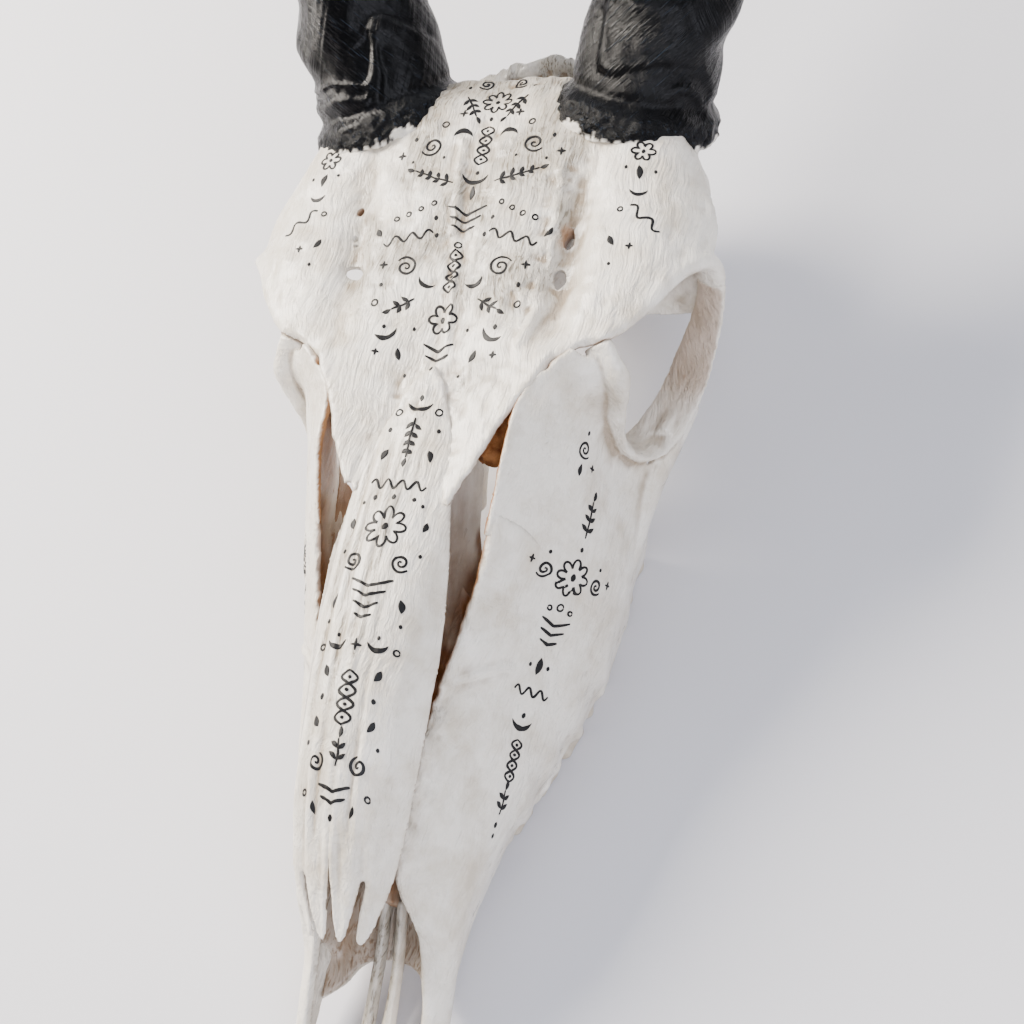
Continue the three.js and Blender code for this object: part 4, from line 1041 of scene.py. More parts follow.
# Braincase. The rounded box behind the horns with the crest for the neck muscles, the two knobs that
# the neck turned on round the great hole, ear bullae and the two long processes that the skull lies on.
CASE = [  # y, half width, bottom, top
    [262, 12, 62, 112], [284, 17, 58, 120], [306, 24, 54, 126], [330, 36, 49, 131], [356, 46, 46, 135],
    [378, 50, 45, 133], [396, 48, 46, 122], [412, 41, 50, 109], [420, 27, 58, 96],
]
HALF_CREST = [[47, 396, 88], [41, 408, 99], [22, 416, 107]]
PROCESS = [[41, 398, 70], [42.5, 402, 46], [41.5, 404, 26], [39, 402, GROUND]]
WING = [[10, 283, 48], [12.5, 270, 36], [13, 262, 24]]
JAW_SOCKET = [[40, 372, 72], [52, 366, 70], [60, 356, 69], [65, 344, 68]]
BASE = [[0, 290, 62], [0, 330, 56], [0, 370, 50], [0, 415, 48]]


def braincase_shells():
    """Box through the sections, whose rings are squared ellipses, with the crest, the knobs, the ear
    bullae, processes, wings, the ridges over the jaw's sockets and the bar of the base."""
    angle = np.linspace(0, 2 * np.pi, 80, endpoint=False)
    c, s = np.cos(angle), np.sin(angle)
    section = curve(CASE, np.linspace(0, 8, 60))
    y, half, low, high = (section[:, k, None] for k in range(4))
    wide = half * np.sign(c) * np.abs(c) ** 0.8
    tall = (low + high) / 2 + (high - low) / 2 * np.sign(s) * np.abs(s) ** 0.85
    box = tube(np.stack([wide, y + 0 * wide, tall], -1))
    crest = [[-cx, cy, cz] for cx, cy, cz in HALF_CREST] + [[0, 419, 110]] + HALF_CREST[::-1]
    share = np.linspace(0, 1, 30)
    knob = ball((17, 421, 62), (12, 15, 17))
    bulla = ball((24, 384, 42), (11, 16, 14))
    process = bar(PROCESS, (0, 3), 30, 5.5 - 2.7 * share, 15 - 9.5 * share, (1, 0, 0))
    wing = bar(WING, (0, 2), 30, 1.8, 12 - 8 * share, (1, 0, 0))
    socket = bar(JAW_SOCKET, (0, 3), 30, 12 - 7 * share, 7 - 3 * share, (0, 1, 0))
    shells = [box, bar(crest, (0, 6), 90, 5, 5.5, (0, 1, 0))]
    for part in (knob, bulla, process, wing, socket):
        shells += both(part)
    return shells + [bar(BASE, (0, 3), 40, 15, 7, (1, 0, 0))]


def braincase_relief(points, normals):
    """Muscle lines on the back and sides, and lumps on the crest."""
    y, z = points.T[1:]
    crest = smooth_step(y, 398, 410) * smooth_step(z, 84, 96)
    lines = np.cos(points @ np.array([0.25, 0.5, 0.83]) * 2 * np.pi / 9 + 2 * noise(points, 20, 31))
    lumps = 1.1 * noise(points, 6, 32) + 0.9 * crackle(points, 5, 33)
    return bone_grain(points) + crest * lumps + 0.12 * lines * smooth_step(y, 330, 380)


def crest_stain(points, normals):
    """Grey-brown between the lumps of the crest."""
    y, z = points.T[1:]
    return np.clip(smooth_step(y, 394, 404) * smooth_step(z, 80, 94) * (0.5 + noise(points, 7, 34)), 0, 1)


great_hole = bar([[0, 445, 76], [0, 392, 80]], (0, 1), 6, 12, 11, (1, 0, 0), sides=40)
bone("braincase_bone", braincase_shells(), ["braincase"], painted_bone, voxel=1.5, rounds=7,
     relief=braincase_relief, stain=crest_stain, cutters=[great_hole])

# Inside of the nose. Thin scrolls of brown bone at its back, the paler upright sheet in front of them,
# and the low trough on the middle of the palate. Bare bone, made from balls, bars and a curved plate.
SCROLL_LIGHT, SCROLL_DARK, SCROLL_GRAIN_MM = "#C98F57", "#7C4518", 5.556
# bare bone: warm brown, dull and dusty
raw_bone, raw_out = new_material("bare_scroll_bone")
raw_at = node(raw_bone, "ShaderNodeTexCoord").outputs["Object"]
raw_noise = node(raw_bone, "ShaderNodeTexNoise", {
    "Vector": raw_at, "Scale": 1 / (SCROLL_GRAIN_MM * MM), "Detail": 6.0, "Roughness": 0.65}).outputs["Fac"]
raw_tone = node(raw_bone, "ShaderNodeMapRange", {"Value": raw_noise, "From Min": 0.35, "From Max": 0.65})
raw_colour = node(raw_bone, "ShaderNodeMix", {
    0: raw_tone.outputs[0], 6: linear(SCROLL_LIGHT), 7: linear(SCROLL_DARK)}, data_type="RGBA").outputs[2]
raw_bump = node(raw_bone, "ShaderNodeBump", {"Height": raw_noise, "Distance": 0.5 * MM, "Strength": 0.6})
raw_shader = node(raw_bone, "ShaderNodeBsdfPrincipled", {
    "Base Color": raw_colour, "Roughness": 0.8, "Normal": raw_bump.outputs[0]})
raw_bone.node_tree.links.new(raw_shader.outputs[0], raw_out.inputs[0])


SCROLLS = [(8, 110, 5), (18, 107, 6), (22, 100, 5), (10, 98, 6)]  # x, z and radius
FRILLS = [(4, 240), (8, 247), (12, 241), (15, 249), (18, 243), (22, 249)]  # x, y
TROUGH = [[0, 96, 33.5], [0, 130, 37.5], [0, 170, 40.5], [0, 212, 41]]
SEPTUM_THICK = 1.7
SEPTUM = [  # rows from top to bottom, columns from back to front
    [[0.3, 259, 97], [-0.6, 240, 99], [0.5, 215, 93], [-0.3, 190, 78], [0, 165, 58]],
    [[-0.6, 260, 78], [0.5, 239, 74], [-0.5, 214, 66], [0.4, 190, 58], [0, 165, 48]],
    [[0, 257, 59], [-0.2, 240, 47], [0.2, 224, 33.5], [0, 195, 36], [0, 165, 37]],
]


def scroll_shells():
    """Oval core with four stubby scrolls a side and thin frills below them."""
    shells = [ball((0, 250, 102), (25, 13, 13))]
    share = np.linspace(0, 1, 20)
    for x, z, r in SCROLLS:
        line = [[x, 250, z], [x * 0.98, 240, z - 1], [x * 0.94, 231, z - 2]]
        shells += both(bar(line, (0, 2), 20, r * (1 - 0.4 * share), r * (1 - 0.4 * share), (1, 0, 0)))
    for x, y in FRILLS:
        line = [[x, y, 97], [x + 0.8, y - 1, 91], [x - 0.6, y + 1, 84 + x / 5]]
        shells += both(bar(line, (0, 2), 20, 0.8 - 0.2 * share, 4.5 - 3 * share, (1, 0.4, 0)))
    return shells


def vomer_shells():
    """Trough on the palate, and the thin upright sheet that rises from its back end."""
    trough = bar(TROUGH, (0, 3), 60, 2.2, np.linspace(4.5, 5.2, 60), (1, 0, 0))
    u, v = mesh_grid(0, 2, 0, 4, 80, 120)
    return [trough, plate(SEPTUM, u, v, SEPTUM_THICK)]


def vomer_raw(points, normals):
    """Brown below and in front; above it thin paint has blown in, in slanting streaks."""
    x, y, z = points.T
    streak = noise(np.stack([x, (y - z) / 2.4, (y + z) / 16], 1), 1.8, 42)
    pale = smooth_step(z + 6 * noise(points, 9, 43), 40, 52) * smooth_step(y, 180, 196)
    return np.clip(0.95 - 0.95 * pale + 0.3 * streak, 0, 1)


bone("ethmoid_scrolls", scroll_shells(), ["ethmoid"], raw_bone, voxel=0.75, rounds=2,
     relief=lambda p, n: 0.6 * bone_grain(p) + 0.6 * noise(p, 3.4, 41))
bone("vomer_bone", vomer_shells(), ["vomer"], painted_bone, voxel=0.75, rounds=2,
     relief=lambda p, n: 0.5 * bone_grain(p), raw=vomer_raw)

# Horn sheaths. Straight, tapering, with one keel that winds round each in opposite directions. Real horn
# under gloss black paint, with soft folds near the base, a rough lip, and scratches along the twist.
HORN_LENGTH, HORN_RADIUS, HORN_TURNS, KEEL_HEIGHT, SKIN_LINE_DIP, WAVE_MM = 620.0, 27.0, 2.1, 5.5, 14.0, 23
KEEL_START = np.array([-0.446, -0.675, 0.588])
RIM_FRONT = np.array([0.1, -0.75, 0.66])
HORN_STATIONS, HORN_SIDES = 480, 190
# black paint, and the lighter blue-grey of scratches and pits: partly wear, partly painted glints
HORN_BLACK, HORN_GLINT_AND_WEAR = "#020203", "#222932"
SCRATCH_MM, SCRATCH_LONG_MM, PIT_MM, GLOSS_PATCH_MM = 0.75, 11.0, 1.3, 22.22
SCRATCH_TURN = np.array([1 / 26, -1 / 40])  # radians round the horn for each mm along it

horn_paint, horn_out = new_material("gloss_black_over_horn")


def scratch_noise(attribute):
    """Fine lines along the third axis of the unwound place that the attribute holds."""
    m = horn_paint
    place = node(m, "ShaderNodeAttribute", attribute_name=attribute).outputs["Vector"]
    scale = (1 / SCRATCH_MM, 1 / SCRATCH_MM, 1 / SCRATCH_LONG_MM)
    fine = node(m, "ShaderNodeMapping", {"Vector": place, "Scale": scale}).outputs[0]
    return node(m, "ShaderNodeTexNoise", {
        "Vector": fine, "Scale": 1.0, "Detail": 3.0, "Roughness": 0.6}).outputs["Fac"]


def horn_material():
    """Gloss black paint over grown horn: two sets of fine scratches wind round it and fade towards the
    tip, and the lip is pitted; the scratch lines and pits are painted a lighter blue-grey, as wear and
    as painted glints, and white paint has splashed over the edge."""
    m = horn_paint
    place = node(m, "ShaderNodeTexCoord").outputs["Object"]
    steep, shallow = scratch_noise("steep"), scratch_noise("shallow")
    pits = node(m, "ShaderNodeTexNoise", {
        "Vector": place, "Scale": 1 / (PIT_MM * MM), "Detail": 4.0, "Roughness": 0.65}).outputs["Fac"]
    patches = node(m, "ShaderNodeTexNoise", {
        "Vector": place, "Scale": 1 / (GLOSS_PATCH_MM * MM), "Detail": 3.0}).outputs["Fac"]
    lip = node(m, "ShaderNodeAttribute", attribute_name="lip").outputs["Fac"]
    crossed = node(m, "ShaderNodeMapRange", {
        "Value": patches, "From Min": 0.45, "From Max": 0.6, "To Max": 0.7}).outputs[0]
    lines = node(m, "ShaderNodeMix", {0: crossed, 2: steep, 3: shallow}).outputs[0]
    # painted highlight: scratch lines and the lip's pits turn lighter blue-grey, partly as wear
    scratch_glint_and_wear = node(m, "ShaderNodeMapRange", {"Value": lines, "From Min": 0.6, "From Max": 0.74}).outputs[0]
    pitted = node(m, "ShaderNodeMapRange", {"Value": pits, "From Min": 0.55, "From Max": 0.7}).outputs[0]
    glint = node(m, "ShaderNodeMix", {0: lip, 2: scratch_glint_and_wear, 3: pitted}).outputs[0]
    black = node(m, "ShaderNodeMix", {
        0: glint, 6: linear(HORN_BLACK), 7: linear(HORN_GLINT_AND_WEAR)}, data_type="RGBA").outputs[2]
    edge_paint = node(m, "ShaderNodeAttribute", attribute_name="edge_paint").outputs["Fac"]
    colour = node(m, "ShaderNodeMix", {
        0: edge_paint, 6: black, 7: linear(PEARL)}, data_type="RGBA").outputs[2]
    rough = node(m, "ShaderNodeMapRange", {
        "Value": patches, "From Min": 0.35, "From Max": 0.65, "To Min": 0.13, "To Max": 0.36}).outputs[0]
    outward_share = node(m, "ShaderNodeAttribute", attribute_name="outward_share").outputs["Fac"]
    depth = node(m, "ShaderNodeMapRange", {
        "Value": outward_share, "From Min": 0.12, "From Max": 0.5,
        "To Min": 0.8, "To Max": 0.08}).outputs[0]
    line_bump = node(m, "ShaderNodeBump", {
        "Height": lines, "Distance": 0.7 * MM, "Strength": depth}).outputs[0]
    pit_bump = node(m, "ShaderNodeBump", {
        "Height": pits, "Distance": 1.0 * MM, "Strength": 0.75, "Normal": line_bump}).outputs[0]
    normal = node(m, "ShaderNodeMix", {0: lip, 4: line_bump, 5: pit_bump}, data_type="VECTOR").outputs[1]
    shader = node(m, "ShaderNodeBsdfPrincipled", {
        "Base Color": colour, "Roughness": rough, "Normal": normal, "Specular IOR Level": 0.15})
    m.node_tree.links.new(shader.outputs[0], horn_out.inputs[0])


horn_material()
HORN_CREASES = {  # turn round the horn in degrees from the keel's start, and mm along it
    "left": [
        [(350, 34), (354, 24), (365, 17), (398, 20), (425, 23), (444, 22), (463, 16)],
        [(432, 15), (448, 14), (460, 10)], [(470, 60), (420, 44), (380, 41), (340, 52)],
    ],
    "right": [
        [(450, 24), (405, 22.5), (387, 21), (376, 20.5), (368, 25), (365, 33)],
        [(450, 20), (405, 19), (388, 17.5), (380, 17)], [(355, 27), (357, 19), (363, 12)],
        [(369, 34), (362, 37), (347, 38), (327, 34), (303, 28)], [(455, 62), (410, 54), (385, 58)],
    ],
}


def crease_depth(turn_mm, reach, creases):
    """Fold along each curve on the unrolled horn: a groove whose depth is a bell curve of the distance,
    and the skin on one side stands over that on the other. side is the sine of the angle between the
    nearest piece of curve and the way to the point."""
    flat = np.stack([turn_mm.ravel(), reach.ravel(), 0 * reach.ravel()], 1)
    flat = (flat + 0.9 * np.stack([noise(flat, 7, 65), noise(flat, 7, 66), 0 * flat[:, 0]], 1))[:, :2]
    away, side = np.full(len(flat), np.inf), np.zeros(len(flat))
    for line in creases:
        fold = [[np.radians(a) * HORN_RADIUS, mm] for a, mm in line]
        centre = curve(fold, np.linspace(0, len(fold) - 1, 24))
        for round_again in (0, 2 * np.pi * HORN_RADIUS):
            for a, b in zip(centre[:-1], centre[1:]):
                offset = flat + [round_again, 0] - a
                along = b - a
                t = np.clip(offset @ along / (along @ along), 0, 1)
                gap = offset - t[:, None] * along
                distance = np.maximum(np.linalg.norm(gap, axis=1), 1e-6)
                sine = (along[0] * gap[:, 1] - along[1] * gap[:, 0]) / np.linalg.norm(along) / distance
                nearer = distance < away
                away, side = np.where(nearer, distance, away), np.where(nearer, sine, side)
    step = 0.75 * side * np.exp(-(away / 7) ** 2) * (1 - np.exp(-(away / 1.8) ** 2))
    return (step - 0.9 * np.exp(-(away / 2.0) ** 2)).reshape(reach.shape)


def horn_shell(creases):
    """Left sheath. Ring s of 0 to 1 has radius R(1-s)^0.82 with a flare at the base; a keel, a bell
    curve round the ring, turns with s; the base ring slants down over the forehead. It gives the rings
    and, for each point, lip, white edge, angle, reach and radius, which the material is told."""
    share = np.linspace(0, 1, HORN_STATIONS)[:, None]
    s = 0.32 * share + 0.68 * share ** 2
    angle = np.linspace(0, 2 * np.pi, HORN_SIDES, endpoint=False)[None, :]
    forward = unit(KEEL_START - horn_axis * (KEEL_START @ horn_axis))
    sideways = np.cross(horn_axis, forward)
    front = unit(RIM_FRONT - horn_axis * (RIM_FRONT @ horn_axis))
    radius = np.maximum(HORN_RADIUS * (1 - s) ** 0.82 + 2.4 * (1 - s) * np.exp(-26 * s), 1.4)
    turned = HORN_TURNS * 2 * np.pi * (1 - (1 - s) ** 2.2)
    off = np.arctan2(np.sin(angle - turned), np.cos(angle - turned))
    keel = KEEL_HEIGHT * (1 - s) ** 0.7 * smooth_step(s, 0, 0.1) * np.exp(-(off / 0.42) ** 2)
    reach = s * HORN_LENGTH + 0 * angle
    ring = np.stack([np.cos(angle), np.sin(angle)], -1) * 30
    where = np.concatenate([np.broadcast_to(ring, reach.shape + (2,)), reach[..., None]], -1)
    lip = 1 - smooth_step(reach + 2.5 * noise(where, 8, 57), 6.5, 9.5)
    wave_at = reach + 9 * np.cos(angle - turned) + 4 * noise(where, 40, 51)
    waves = 0.9 * np.exp(-reach / 90) * np.cos(wave_at * 2 * np.pi / WAVE_MM)
    grain = 1.0 * lip * noise(where, 1.9, 52) + 0.3 * noise(where * [1, 1, 0.15], 5, 53) * (1 - s)
    scored = 0.0
    for rate, seed in zip(SCRATCH_TURN, (58, 59)):
        wound = angle - rate * reach
        line = np.stack([np.cos(wound), np.sin(wound), reach * 0.06 / 30], -1) * 30
        scored = scored + 0.2 * noise(line, 1.6, seed) * (1 - lip) * (1 - s) ** 2.5
    folds = crease_depth(angle * HORN_RADIUS + 0 * reach, reach, creases)
    roll = 2.4 * np.exp(-((reach - 4.5) / 5) ** 4) - 1.0 * np.exp(-((reach - 12) / 2.2) ** 2)
    r = radius + keel + waves * smooth_step(reach, 12, 30) + grain + scored + folds + roll - 1.2
    out = forward * np.cos(angle)[..., None] + sideways * np.sin(angle)[..., None]
    dip = SKIN_LINE_DIP * np.maximum(0, 1 - 9 * s) ** 1.5
    round_it = where * [1, 1, 0]
    uneven = 1.3 * (noise(round_it, 9, 54) + 0.7 * noise(round_it, 3, 60)) * np.exp(-reach / 6)
    drop = dip * (0.45 + 0.55 * (out @ front)) + uneven
    centre = HORN_BASE + horn_axis * reach[..., None]
    rings = centre + out * r[..., None] - horn_axis * drop[..., None]
    white = smooth_step(1.0 + 2.4 * noise(where, 3.2, 55) + 1.8 * noise(where, 1.3, 56) - reach, -0.3, 0.3)
    return keep_inside(rings), lip, white, angle + 0 * reach, reach, radius + 0 * angle


def set_vectors(mesh, name, values):
    """A vector for each point of the mesh, which its material reads."""
    layer = mesh.attributes.new(name, "FLOAT_VECTOR", "POINT")
    layer.data.foreach_set("vector", values.astype(np.float32).ravel())


for side, name in SIDES:
    rings, lip, white, angle, reach, radius = horn_shell(HORN_CREASES[name])
    horn = mesh_object(f"horn_sheath_{name}", on_side(side, [tube(rings)]))
    mesh = horn.data
    set_attribute(mesh, "edge_paint", np.concatenate([white.ravel(), [1, 0]]))
    set_attribute(mesh, "lip", np.concatenate([lip.ravel(), [1, 0]]))
    set_attribute(mesh, "outward_share", np.concatenate([(reach / HORN_LENGTH).ravel(), [0, 1]]))
    for rate, attribute in zip(SCRATCH_TURN, ("steep", "shallow")):
        wound = angle - rate * reach
        unwound = np.stack([radius * np.cos(wound), radius * np.sin(wound), reach], -1).reshape(-1, 3)
        set_vectors(mesh, attribute, np.concatenate([unwound, unwound[:1], unwound[-1:]]))
    mesh.polygons.foreach_set("use_smooth", np.ones(len(mesh.polygons), bool))
    mesh.materials.append(horn_paint)
    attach(horn, "root")
    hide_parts(f"horn_{name}")

# Ink. Leaves, waves, spirals, flowers, braids and small rings drawn over the forehead, the nose and both
# cheeks, mirrored about the middle. Drawing ink from a fine brush: each stroke is a thin ribbon of 0.7 to
# 2 mm that is laid down on the painted bone and given a little body.
INK_STEP, INK_LIFT, INK_BODY, INK_COLUMNS = 0.5, 0.05, 0.16, 5  # mm, and points across a stroke
FAR_MM, LONGEST_MM = 400.0, 2.6  # where the strokes start from, and the longest side a laid face may have
INK_BLACK, INK_WORN, WORN_MM = "#0B0A0C", "#2B2825", 1.6


def dot(r=0.75):
    """Round dot: a short stroke whose width swells to its length."""
    return [([(-r, 0), (r, 0)], 2 * r, 0.5)]


def leaf(long=5.0, wide=1.7):
    """Filled leaf that points along +y, widest in its middle."""
    return [([(0, 0), (0.3, long / 2), (0, long)], wide, 0.9)]


def ring(r=1.2):
    """Small open ring."""
    a = np.linspace(0.2, 2 * np.pi + 0.1, 30)
    return [(np.stack([r * np.cos(a), r * np.sin(a)], 1), 0.55, 0.1)]


def curl(r=3.4, turns=1.9, way=1):
    """Spiral whose radius grows evenly with its turn."""
    t = np.linspace(0.03, 1, 60)
    a = way * turns * 2 * np.pi * t
    return [(np.stack([r * t * np.cos(a), r * t * np.sin(a)], 1), 0.75, 0.15)]


def crescent(r=5.0, wide=1.5):
    """Arc that hangs down like a bowl, thick in its middle."""
    a = np.radians(np.linspace(205, 335, 30))
    return [(np.stack([r * np.cos(a), r * np.sin(a) + r / 2], 1), wide, 0.75)]


def flower(r=5.5, petals=8):
    """Flower: its outline's radius follows the size of a cosine, one arch a petal, round a dot."""
    a = np.linspace(0, 2 * np.pi, 200)
    far = r * (0.42 + 0.58 * np.abs(np.cos(petals / 2 * a)) ** 0.6)
    return [(np.stack([far * np.cos(a), far * np.sin(a)], 1), 0.7, 0.05), *dot(r * 0.17)]


def wave(long=20.0, high=1.6, turns=3, way=1):
    """Sine wave along x."""
    t = np.linspace(0, 1, 80)
    return [(np.stack([long * (t - 0.5), way * high * np.sin(2 * np.pi * turns * t)], 1), 0.75, 0.12)]


def braid(long=16.0, high=2.4, turns=2):
    """Two waves that cross, with a dot in each eye."""
    dots = [moved(dot(0.55), long * ((k + 0.5) / (2 * turns) - 0.5), 0) for k in range(2 * turns)]
    return wave(long, high, turns) + wave(long, high, turns, -1) + sum(dots, [])


def chevrons(wide, count=3, gap=3.4):
    """Open V strokes one above the other, each narrower than the last."""
    sizes = wide * (1 - 0.2 * np.arange(count))
    return [([(-w / 2, -k * gap + w / 5), (0, -k * gap), (w / 2, -k * gap + w / 5)], 0.85, 0.2)
            for k, w in enumerate(sizes)]


def cross(r=1.7):
    """Two short strokes that cross."""
    return [([(-r, 0), (r, 0)], 0.75, 0.3), ([(0, -r), (0, r)], 0.75, 0.3)]


def sprig(long=16.0, pairs=4, size=3.6):
    """Stem along +y with pairs of leaves and one at its end."""
    stem = [([(0, 0), (0.4, long / 2), (0, long)], 0.65, 0.15)]
    leaves = [moved(leaf(size * (1 - 0.1 * k), 1.3), 0, long * (k + 0.6) / (pairs + 0.6), way * 52)
              for k in range(pairs) for way in (-1, 1)]
    return stem + sum(leaves, []) + moved(leaf(size, 1.4), 0, long)


def moved(shape, x, y, turn=0.0):
    """The strokes of a shape, turned by degrees about its own origin and put at x, y."""
    c, s = np.cos(np.radians(turn)), np.sin(np.radians(turn))
    matrix = np.array([[c, s], [-s, c]])
    return [(np.asarray(points, float) @ matrix + [x, y], wide, belly) for points, wide, belly in shape]


def both_ways(shape):
    """The strokes and their mirror image about x = 0."""
    return shape + [(np.asarray(points) * [-1, 1], wide, belly) for points, wide, belly in shape]


def ribbon(points, wide, belly, seed):
    """Grid of points across and along a stroke. Half its width is 0.62 wide times sin(pi s) to the
    power belly, so it thins to both ends, and the hand's tremor comes from noise."""
    line = np.asarray(points, float)
    run = np.concatenate([[0], np.cumsum(np.linalg.norm(np.diff(line, axis=0), axis=1))])
    s = np.linspace(0, 1, max(int(run[-1] / INK_STEP), 6) + 1)
    centre = np.stack([np.interp(s * run[-1], run, line[:, k]) for k in range(2)], 1)
    flat = np.concatenate([centre, 0 * centre[:, :1]], 1)
    centre = centre + 0.22 * np.stack([noise(flat, 4, seed), noise(flat, 4, seed + 1)], 1)
    along = unit(np.gradient(centre, axis=0))
    half = 0.62 * wide * np.maximum(np.sin(np.pi * s), 0.02) ** belly
    half *= 1 + 0.22 * noise(flat, 1.6, seed + 2)
    across = np.stack([-along[:, 1], along[:, 0]], 1) * half[:, None]
    return centre[:, None] + across[:, None] * np.linspace(-1, 1, INK_COLUMNS)[:, None]


def forehead_marks():
    """Marks on the forehead and brows as x, y."""
    middle = moved(flower(5.6), 0, 364) + moved(dot(), 0, 355) + moved(braid(17), 0, 343, 90)
    middle += moved(crescent(5.5), 0, 329) + moved(dot(), 0, 331) + moved(leaf(6, 2), 0, 319)
    middle += moved(chevrons(15), 0, 313) + moved(braid(16), 0, 290, 90) + moved(ring(), 0, 300)
    middle += moved(flower(5.2, 6), 0, 272) + moved(chevrons(11, 2), 0, 261) + moved(dot(), 0, 253)
    side = moved(curl(3.0), 7, 374) + moved(sprig(12, 3), 12, 366, 150) + moved(dot(), 13, 372)
    side += moved(cross(), 11, 357) + moved(ring(), 17, 352) + moved(crescent(4), 9, 347, 180)
    side += moved(curl(4.2), 20, 342) + moved(dot(), 27, 345) + moved(dot(0.55), 14, 337)
    side += moved(dot(0.55), 26, 335) + moved(sprig(17, 4), 8, 326, -72) + moved(cross(), 31, 338)
    side += moved(ring(0.9), 13, 317) + moved(ring(0.9), 17.5, 314.5) + moved(ring(0.9), 22, 312.5)
    side += moved(ring(0.9), 26.5, 311) + moved(dot(), 11, 311) + moved(wave(19, 1.5, 3), 20, 303, -12)
    side += moved(leaf(4.5), 31, 304, -35) + moved(dot(), 9, 304) + moved(curl(4.3, 1.9, -1), 18, 291)
    side += moved(cross(), 27, 292) + moved(crescent(3.6, 1.2), 9, 286, 20) + moved(dot(), 26, 284)
    side += moved(sprig(9, 2), 12, 279, -118) + moved(ring(), 27, 277) + moved(dot(0.6), 10, 268)
    side += moved(crescent(4.5), 20, 266, -25) + moved(dot(), 21, 268) + moved(leaf(5), 13, 256, -20)
    side += moved(cross(1.4), 22, 258) + moved(dot(0.6), 10, 251)
    side += moved(flower(4.2, 6), 61, 338) + moved(leaf(6, 1.8), 61.5, 326, 8) + moved(dot(), 61, 346)
    side += moved(crescent(3.4, 1.2), 62, 322) + moved(dot(0.6), 56, 331) + moved(dot(0.6), 66.5, 330)
    side += moved(wave(15, 1.5, 2), 66, 311, -38) + moved(ring(0.9), 57, 314)
    side += moved(leaf(4.5), 55, 303, -150) + moved(cross(1.4), 63, 299) + moved(dot(0.6), 57, 292)
    return middle + both_ways(side)


def nose_marks():
    """Marks on the two nasal bones as x, y."""
    middle = moved(crescent(5), 0, 239) + moved(dot(), 0, 241) + moved(sprig(15, 4), 0, 233, 180)
    middle += moved(wave(20, 1.6, 4), 0, 208) + moved(dot(0.8), 0, 203) + moved(flower(7.2), 0, 192)
    middle += moved(chevrons(15, 4), 0, 171) + moved(cross(1.9), 0, 152) + moved(braid(16, 2.8), 0, 136, 90)
    middle += moved(sprig(8, 2), 0, 116, 0) + moved(chevrons(11, 2, 3), 0, 109) + moved(dot(0.8), 0, 102)
    side = moved(ring(), 7.5, 236) + moved(dot(), 9, 229) + moved(leaf(4.5), 9, 217, 20)
    side += moved(dot(), 7, 203) + moved(dot(0.6), 10.5, 201) + moved(leaf(4), 12.5, 192, -10)
    side += moved(curl(3.3), 8.5, 180) + moved(dot(0.6), 13.5, 184) + moved(leaf(4.5), 12, 164, 12)
    side += moved(dot(0.6), 12.6, 160) + moved(crescent(3.6, 1.3), 7, 153) + moved(dot(0.6), 7, 155)
    side += moved(ring(0.9), 13, 152) + moved(leaf(4), 8, 142, -25) + moved(dot(), 9, 136)
    side += moved(leaf(4), 8.5, 127, -25) + moved(curl(2.9, 1.7, -1), 7.5, 117) + moved(dot(0.6), 12, 123)
    side += moved(ring(0.8), 11, 109) + moved(leaf(3.6, 1.3), 6, 103, -15)
    return middle + both_ways(side)


CHEEK_TOP, CHEEK_TURN = (229, 82), -71.0  # start of the cheek's column as y, z, and its turn in degrees


def cheek_marks():
    """Marks on a cheek as y, z: a column that runs down to the snout, and a few by the eye."""
    column = moved(sprig(13, 3), 0, -13) + moved(dot(), 0, -17) + moved(flower(6.2), 0, -27)
    column += both_ways(moved(curl(3.0), 11, -27) + moved(cross(1.5), 17, -25) + moved(dot(0.6), 11, -21))
    column += moved(ring(), 0, -37.5) + both_ways(moved(ring(0.8), 4, -38.5))
    column += moved(chevrons(11, 3, 3.2), 0, -44) + moved(leaf(6, 2), 0, -61)
    column += both_ways(moved(dot(0.6), 3.5, -58)) + moved(wave(14, 1.4, 3), 0, -67)
    column += moved(crescent(4.6), 0, -77) + moved(dot(), 0, -75) + moved(braid(14, 2.2), 0, -90, 90)
    column += moved(sprig(8, 2), 0, -108) + moved(dot(0.8), 0, -111.5) + moved(dot(0.6), 0, -115)
    by_the_eye = curl(3.2) + moved(dot(0.6), 0, 5.5) + moved(leaf(4.5, 1.5), 0, -5, 180)
    by_the_eye += moved(cross(1.4), 6, -5)
    return moved(column, *CHEEK_TOP, CHEEK_TURN) + moved(by_the_eye, 240, 97, CHEEK_TURN)


# drawing ink: near black and a little shiny, worn to dark brown in specks
drawing_ink, ink_out = new_material("drawing_ink")
ink_at = node(drawing_ink, "ShaderNodeTexCoord").outputs["Object"]
ink_noise = node(drawing_ink, "ShaderNodeTexNoise", {
    "Vector": ink_at, "Scale": 1 / (WORN_MM * MM), "Detail": 3.0, "Roughness": 0.6}).outputs["Fac"]
ink_worn = node(drawing_ink, "ShaderNodeMapRange", {
    "Value": ink_noise, "From Min": 0.56, "From Max": 0.78})
ink_colour = node(drawing_ink, "ShaderNodeMix", {
    0: ink_worn.outputs[0], 6: linear(INK_BLACK), 7: linear(INK_WORN)}, data_type="RGBA").outputs[2]
ink_shader = node(drawing_ink, "ShaderNodeBsdfPrincipled", {
    "Base Color": ink_colour, "Roughness": 0.5, "Specular IOR Level": 0.25})
drawing_ink.node_tree.links.new(ink_shader.outputs[0], ink_out.inputs[0])

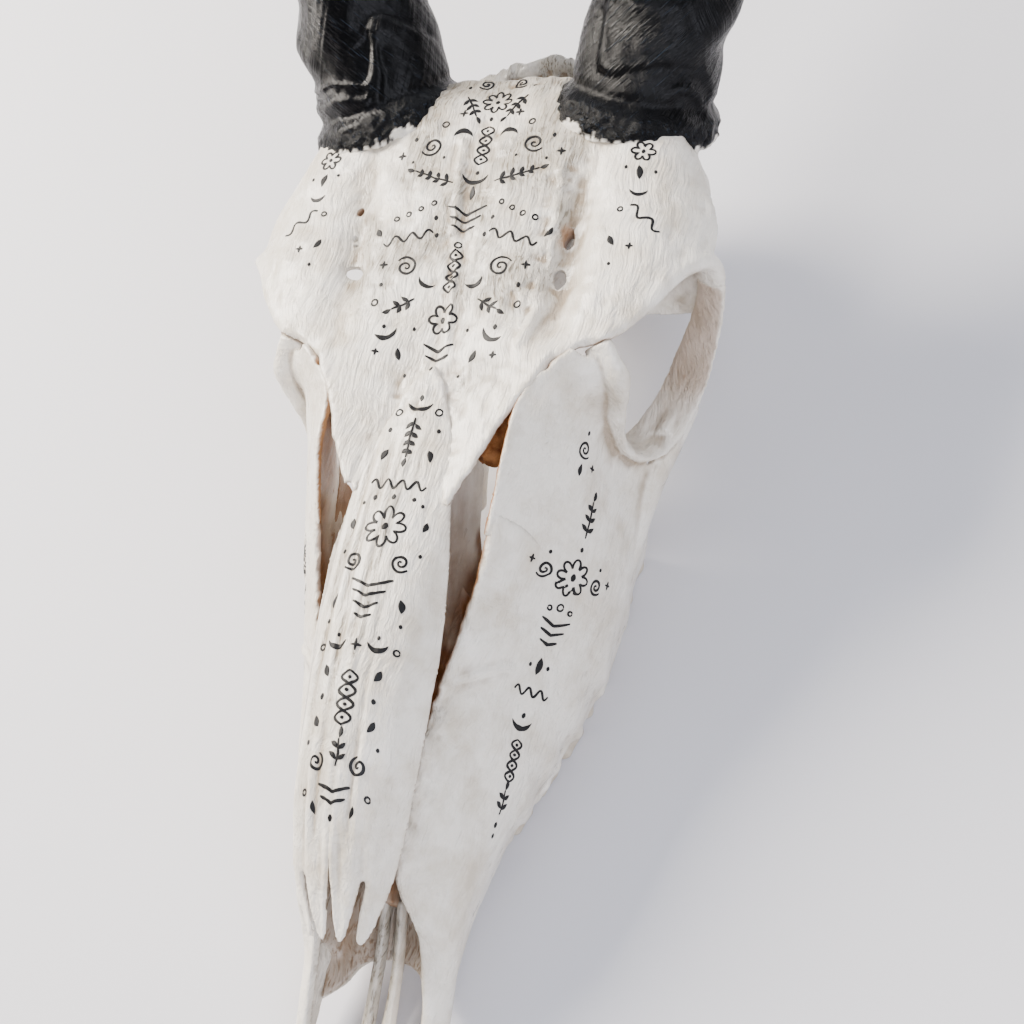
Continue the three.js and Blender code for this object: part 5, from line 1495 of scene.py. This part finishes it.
# The painted bones in one mesh, which the strokes are laid on and which is then taken away
bones_mesh = bpy.data.meshes.new("bones_under_ink")
gathered = bmesh.new()
for made in bpy.context.scene.objects:
    if made.type == "MESH" and painted_bone.name in made.data.materials:
        gathered.from_mesh(made.data)
gathered.to_mesh(bones_mesh)
gathered.free()
under_ink = bpy.data.objects.new("bones_under_ink", bones_mesh)
bpy.context.scene.collection.objects.link(under_ink)


def lay_ink(name, marks, place, axis, positive):
    """Strokes put far out on their chart by place(points), dropped along an axis on to the bone, freed of
    faces that missed it or bridge a gap, and thickened."""
    shells = []
    for seed, (points, wide, belly) in enumerate(marks):
        grid = ribbon(points, wide, belly, seed)
        shells.append((place(grid.reshape(-1, 2)), [grid_faces(len(grid), INK_COLUMNS)]))
    made = mesh_object(name, shells, closed=False)
    drop = made.modifiers.new("drop", "SHRINKWRAP")
    drop.target, drop.wrap_method, drop.offset = under_ink, "PROJECT", INK_LIFT * MM
    setattr(drop, "use_project_" + axis, True)
    drop.use_positive_direction, drop.use_negative_direction = positive, not positive
    mesh = applied(made)
    points, _, _ = read_points(mesh)
    corners = np.empty(len(mesh.loops), int)
    mesh.loops.foreach_get("vertex_index", corners)
    quads = points[corners.reshape(-1, 4)]
    sides = np.linalg.norm(quads - np.roll(quads, 1, 1), axis=2).max(1)
    missed = (np.abs(quads[:, :, "xyz".index(axis)]) > FAR_MM / 2).any(1)
    trimmed = bmesh.new()
    trimmed.from_mesh(mesh)
    trimmed.faces.ensure_lookup_table()
    gone = [trimmed.faces[k] for k in np.flatnonzero((sides > LONGEST_MM) | missed)]
    bmesh.ops.delete(trimmed, geom=gone, context="FACES")
    trimmed.to_mesh(mesh)
    trimmed.free()
    body = made.modifiers.new("body", "SOLIDIFY")
    body.thickness, body.offset = INK_BODY * MM, 0
    mesh = applied(made)
    mesh.polygons.foreach_set("use_smooth", np.ones(len(mesh.polygons), bool))
    mesh.materials.append(drawing_ink)
    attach(made, "root")


def from_above(flat):
    """Chart x, y to points high over the skull."""
    return np.concatenate([flat, np.full((len(flat), 1), FAR_MM)], 1)


def from_side(side):
    """Chart y, z to points far out on one side."""
    return lambda flat: np.concatenate([np.full((len(flat), 1), side * FAR_MM), flat], 1)


lay_ink("ink_forehead", forehead_marks(), from_above, "z", False)
lay_ink("ink_nose", nose_marks(), from_above, "z", False)
lay_ink("ink_cheek_left", cheek_marks(), from_side(1), "x", False)
lay_ink("ink_cheek_right", cheek_marks(), from_side(-1), "x", True)
bpy.data.objects.remove(under_ink)
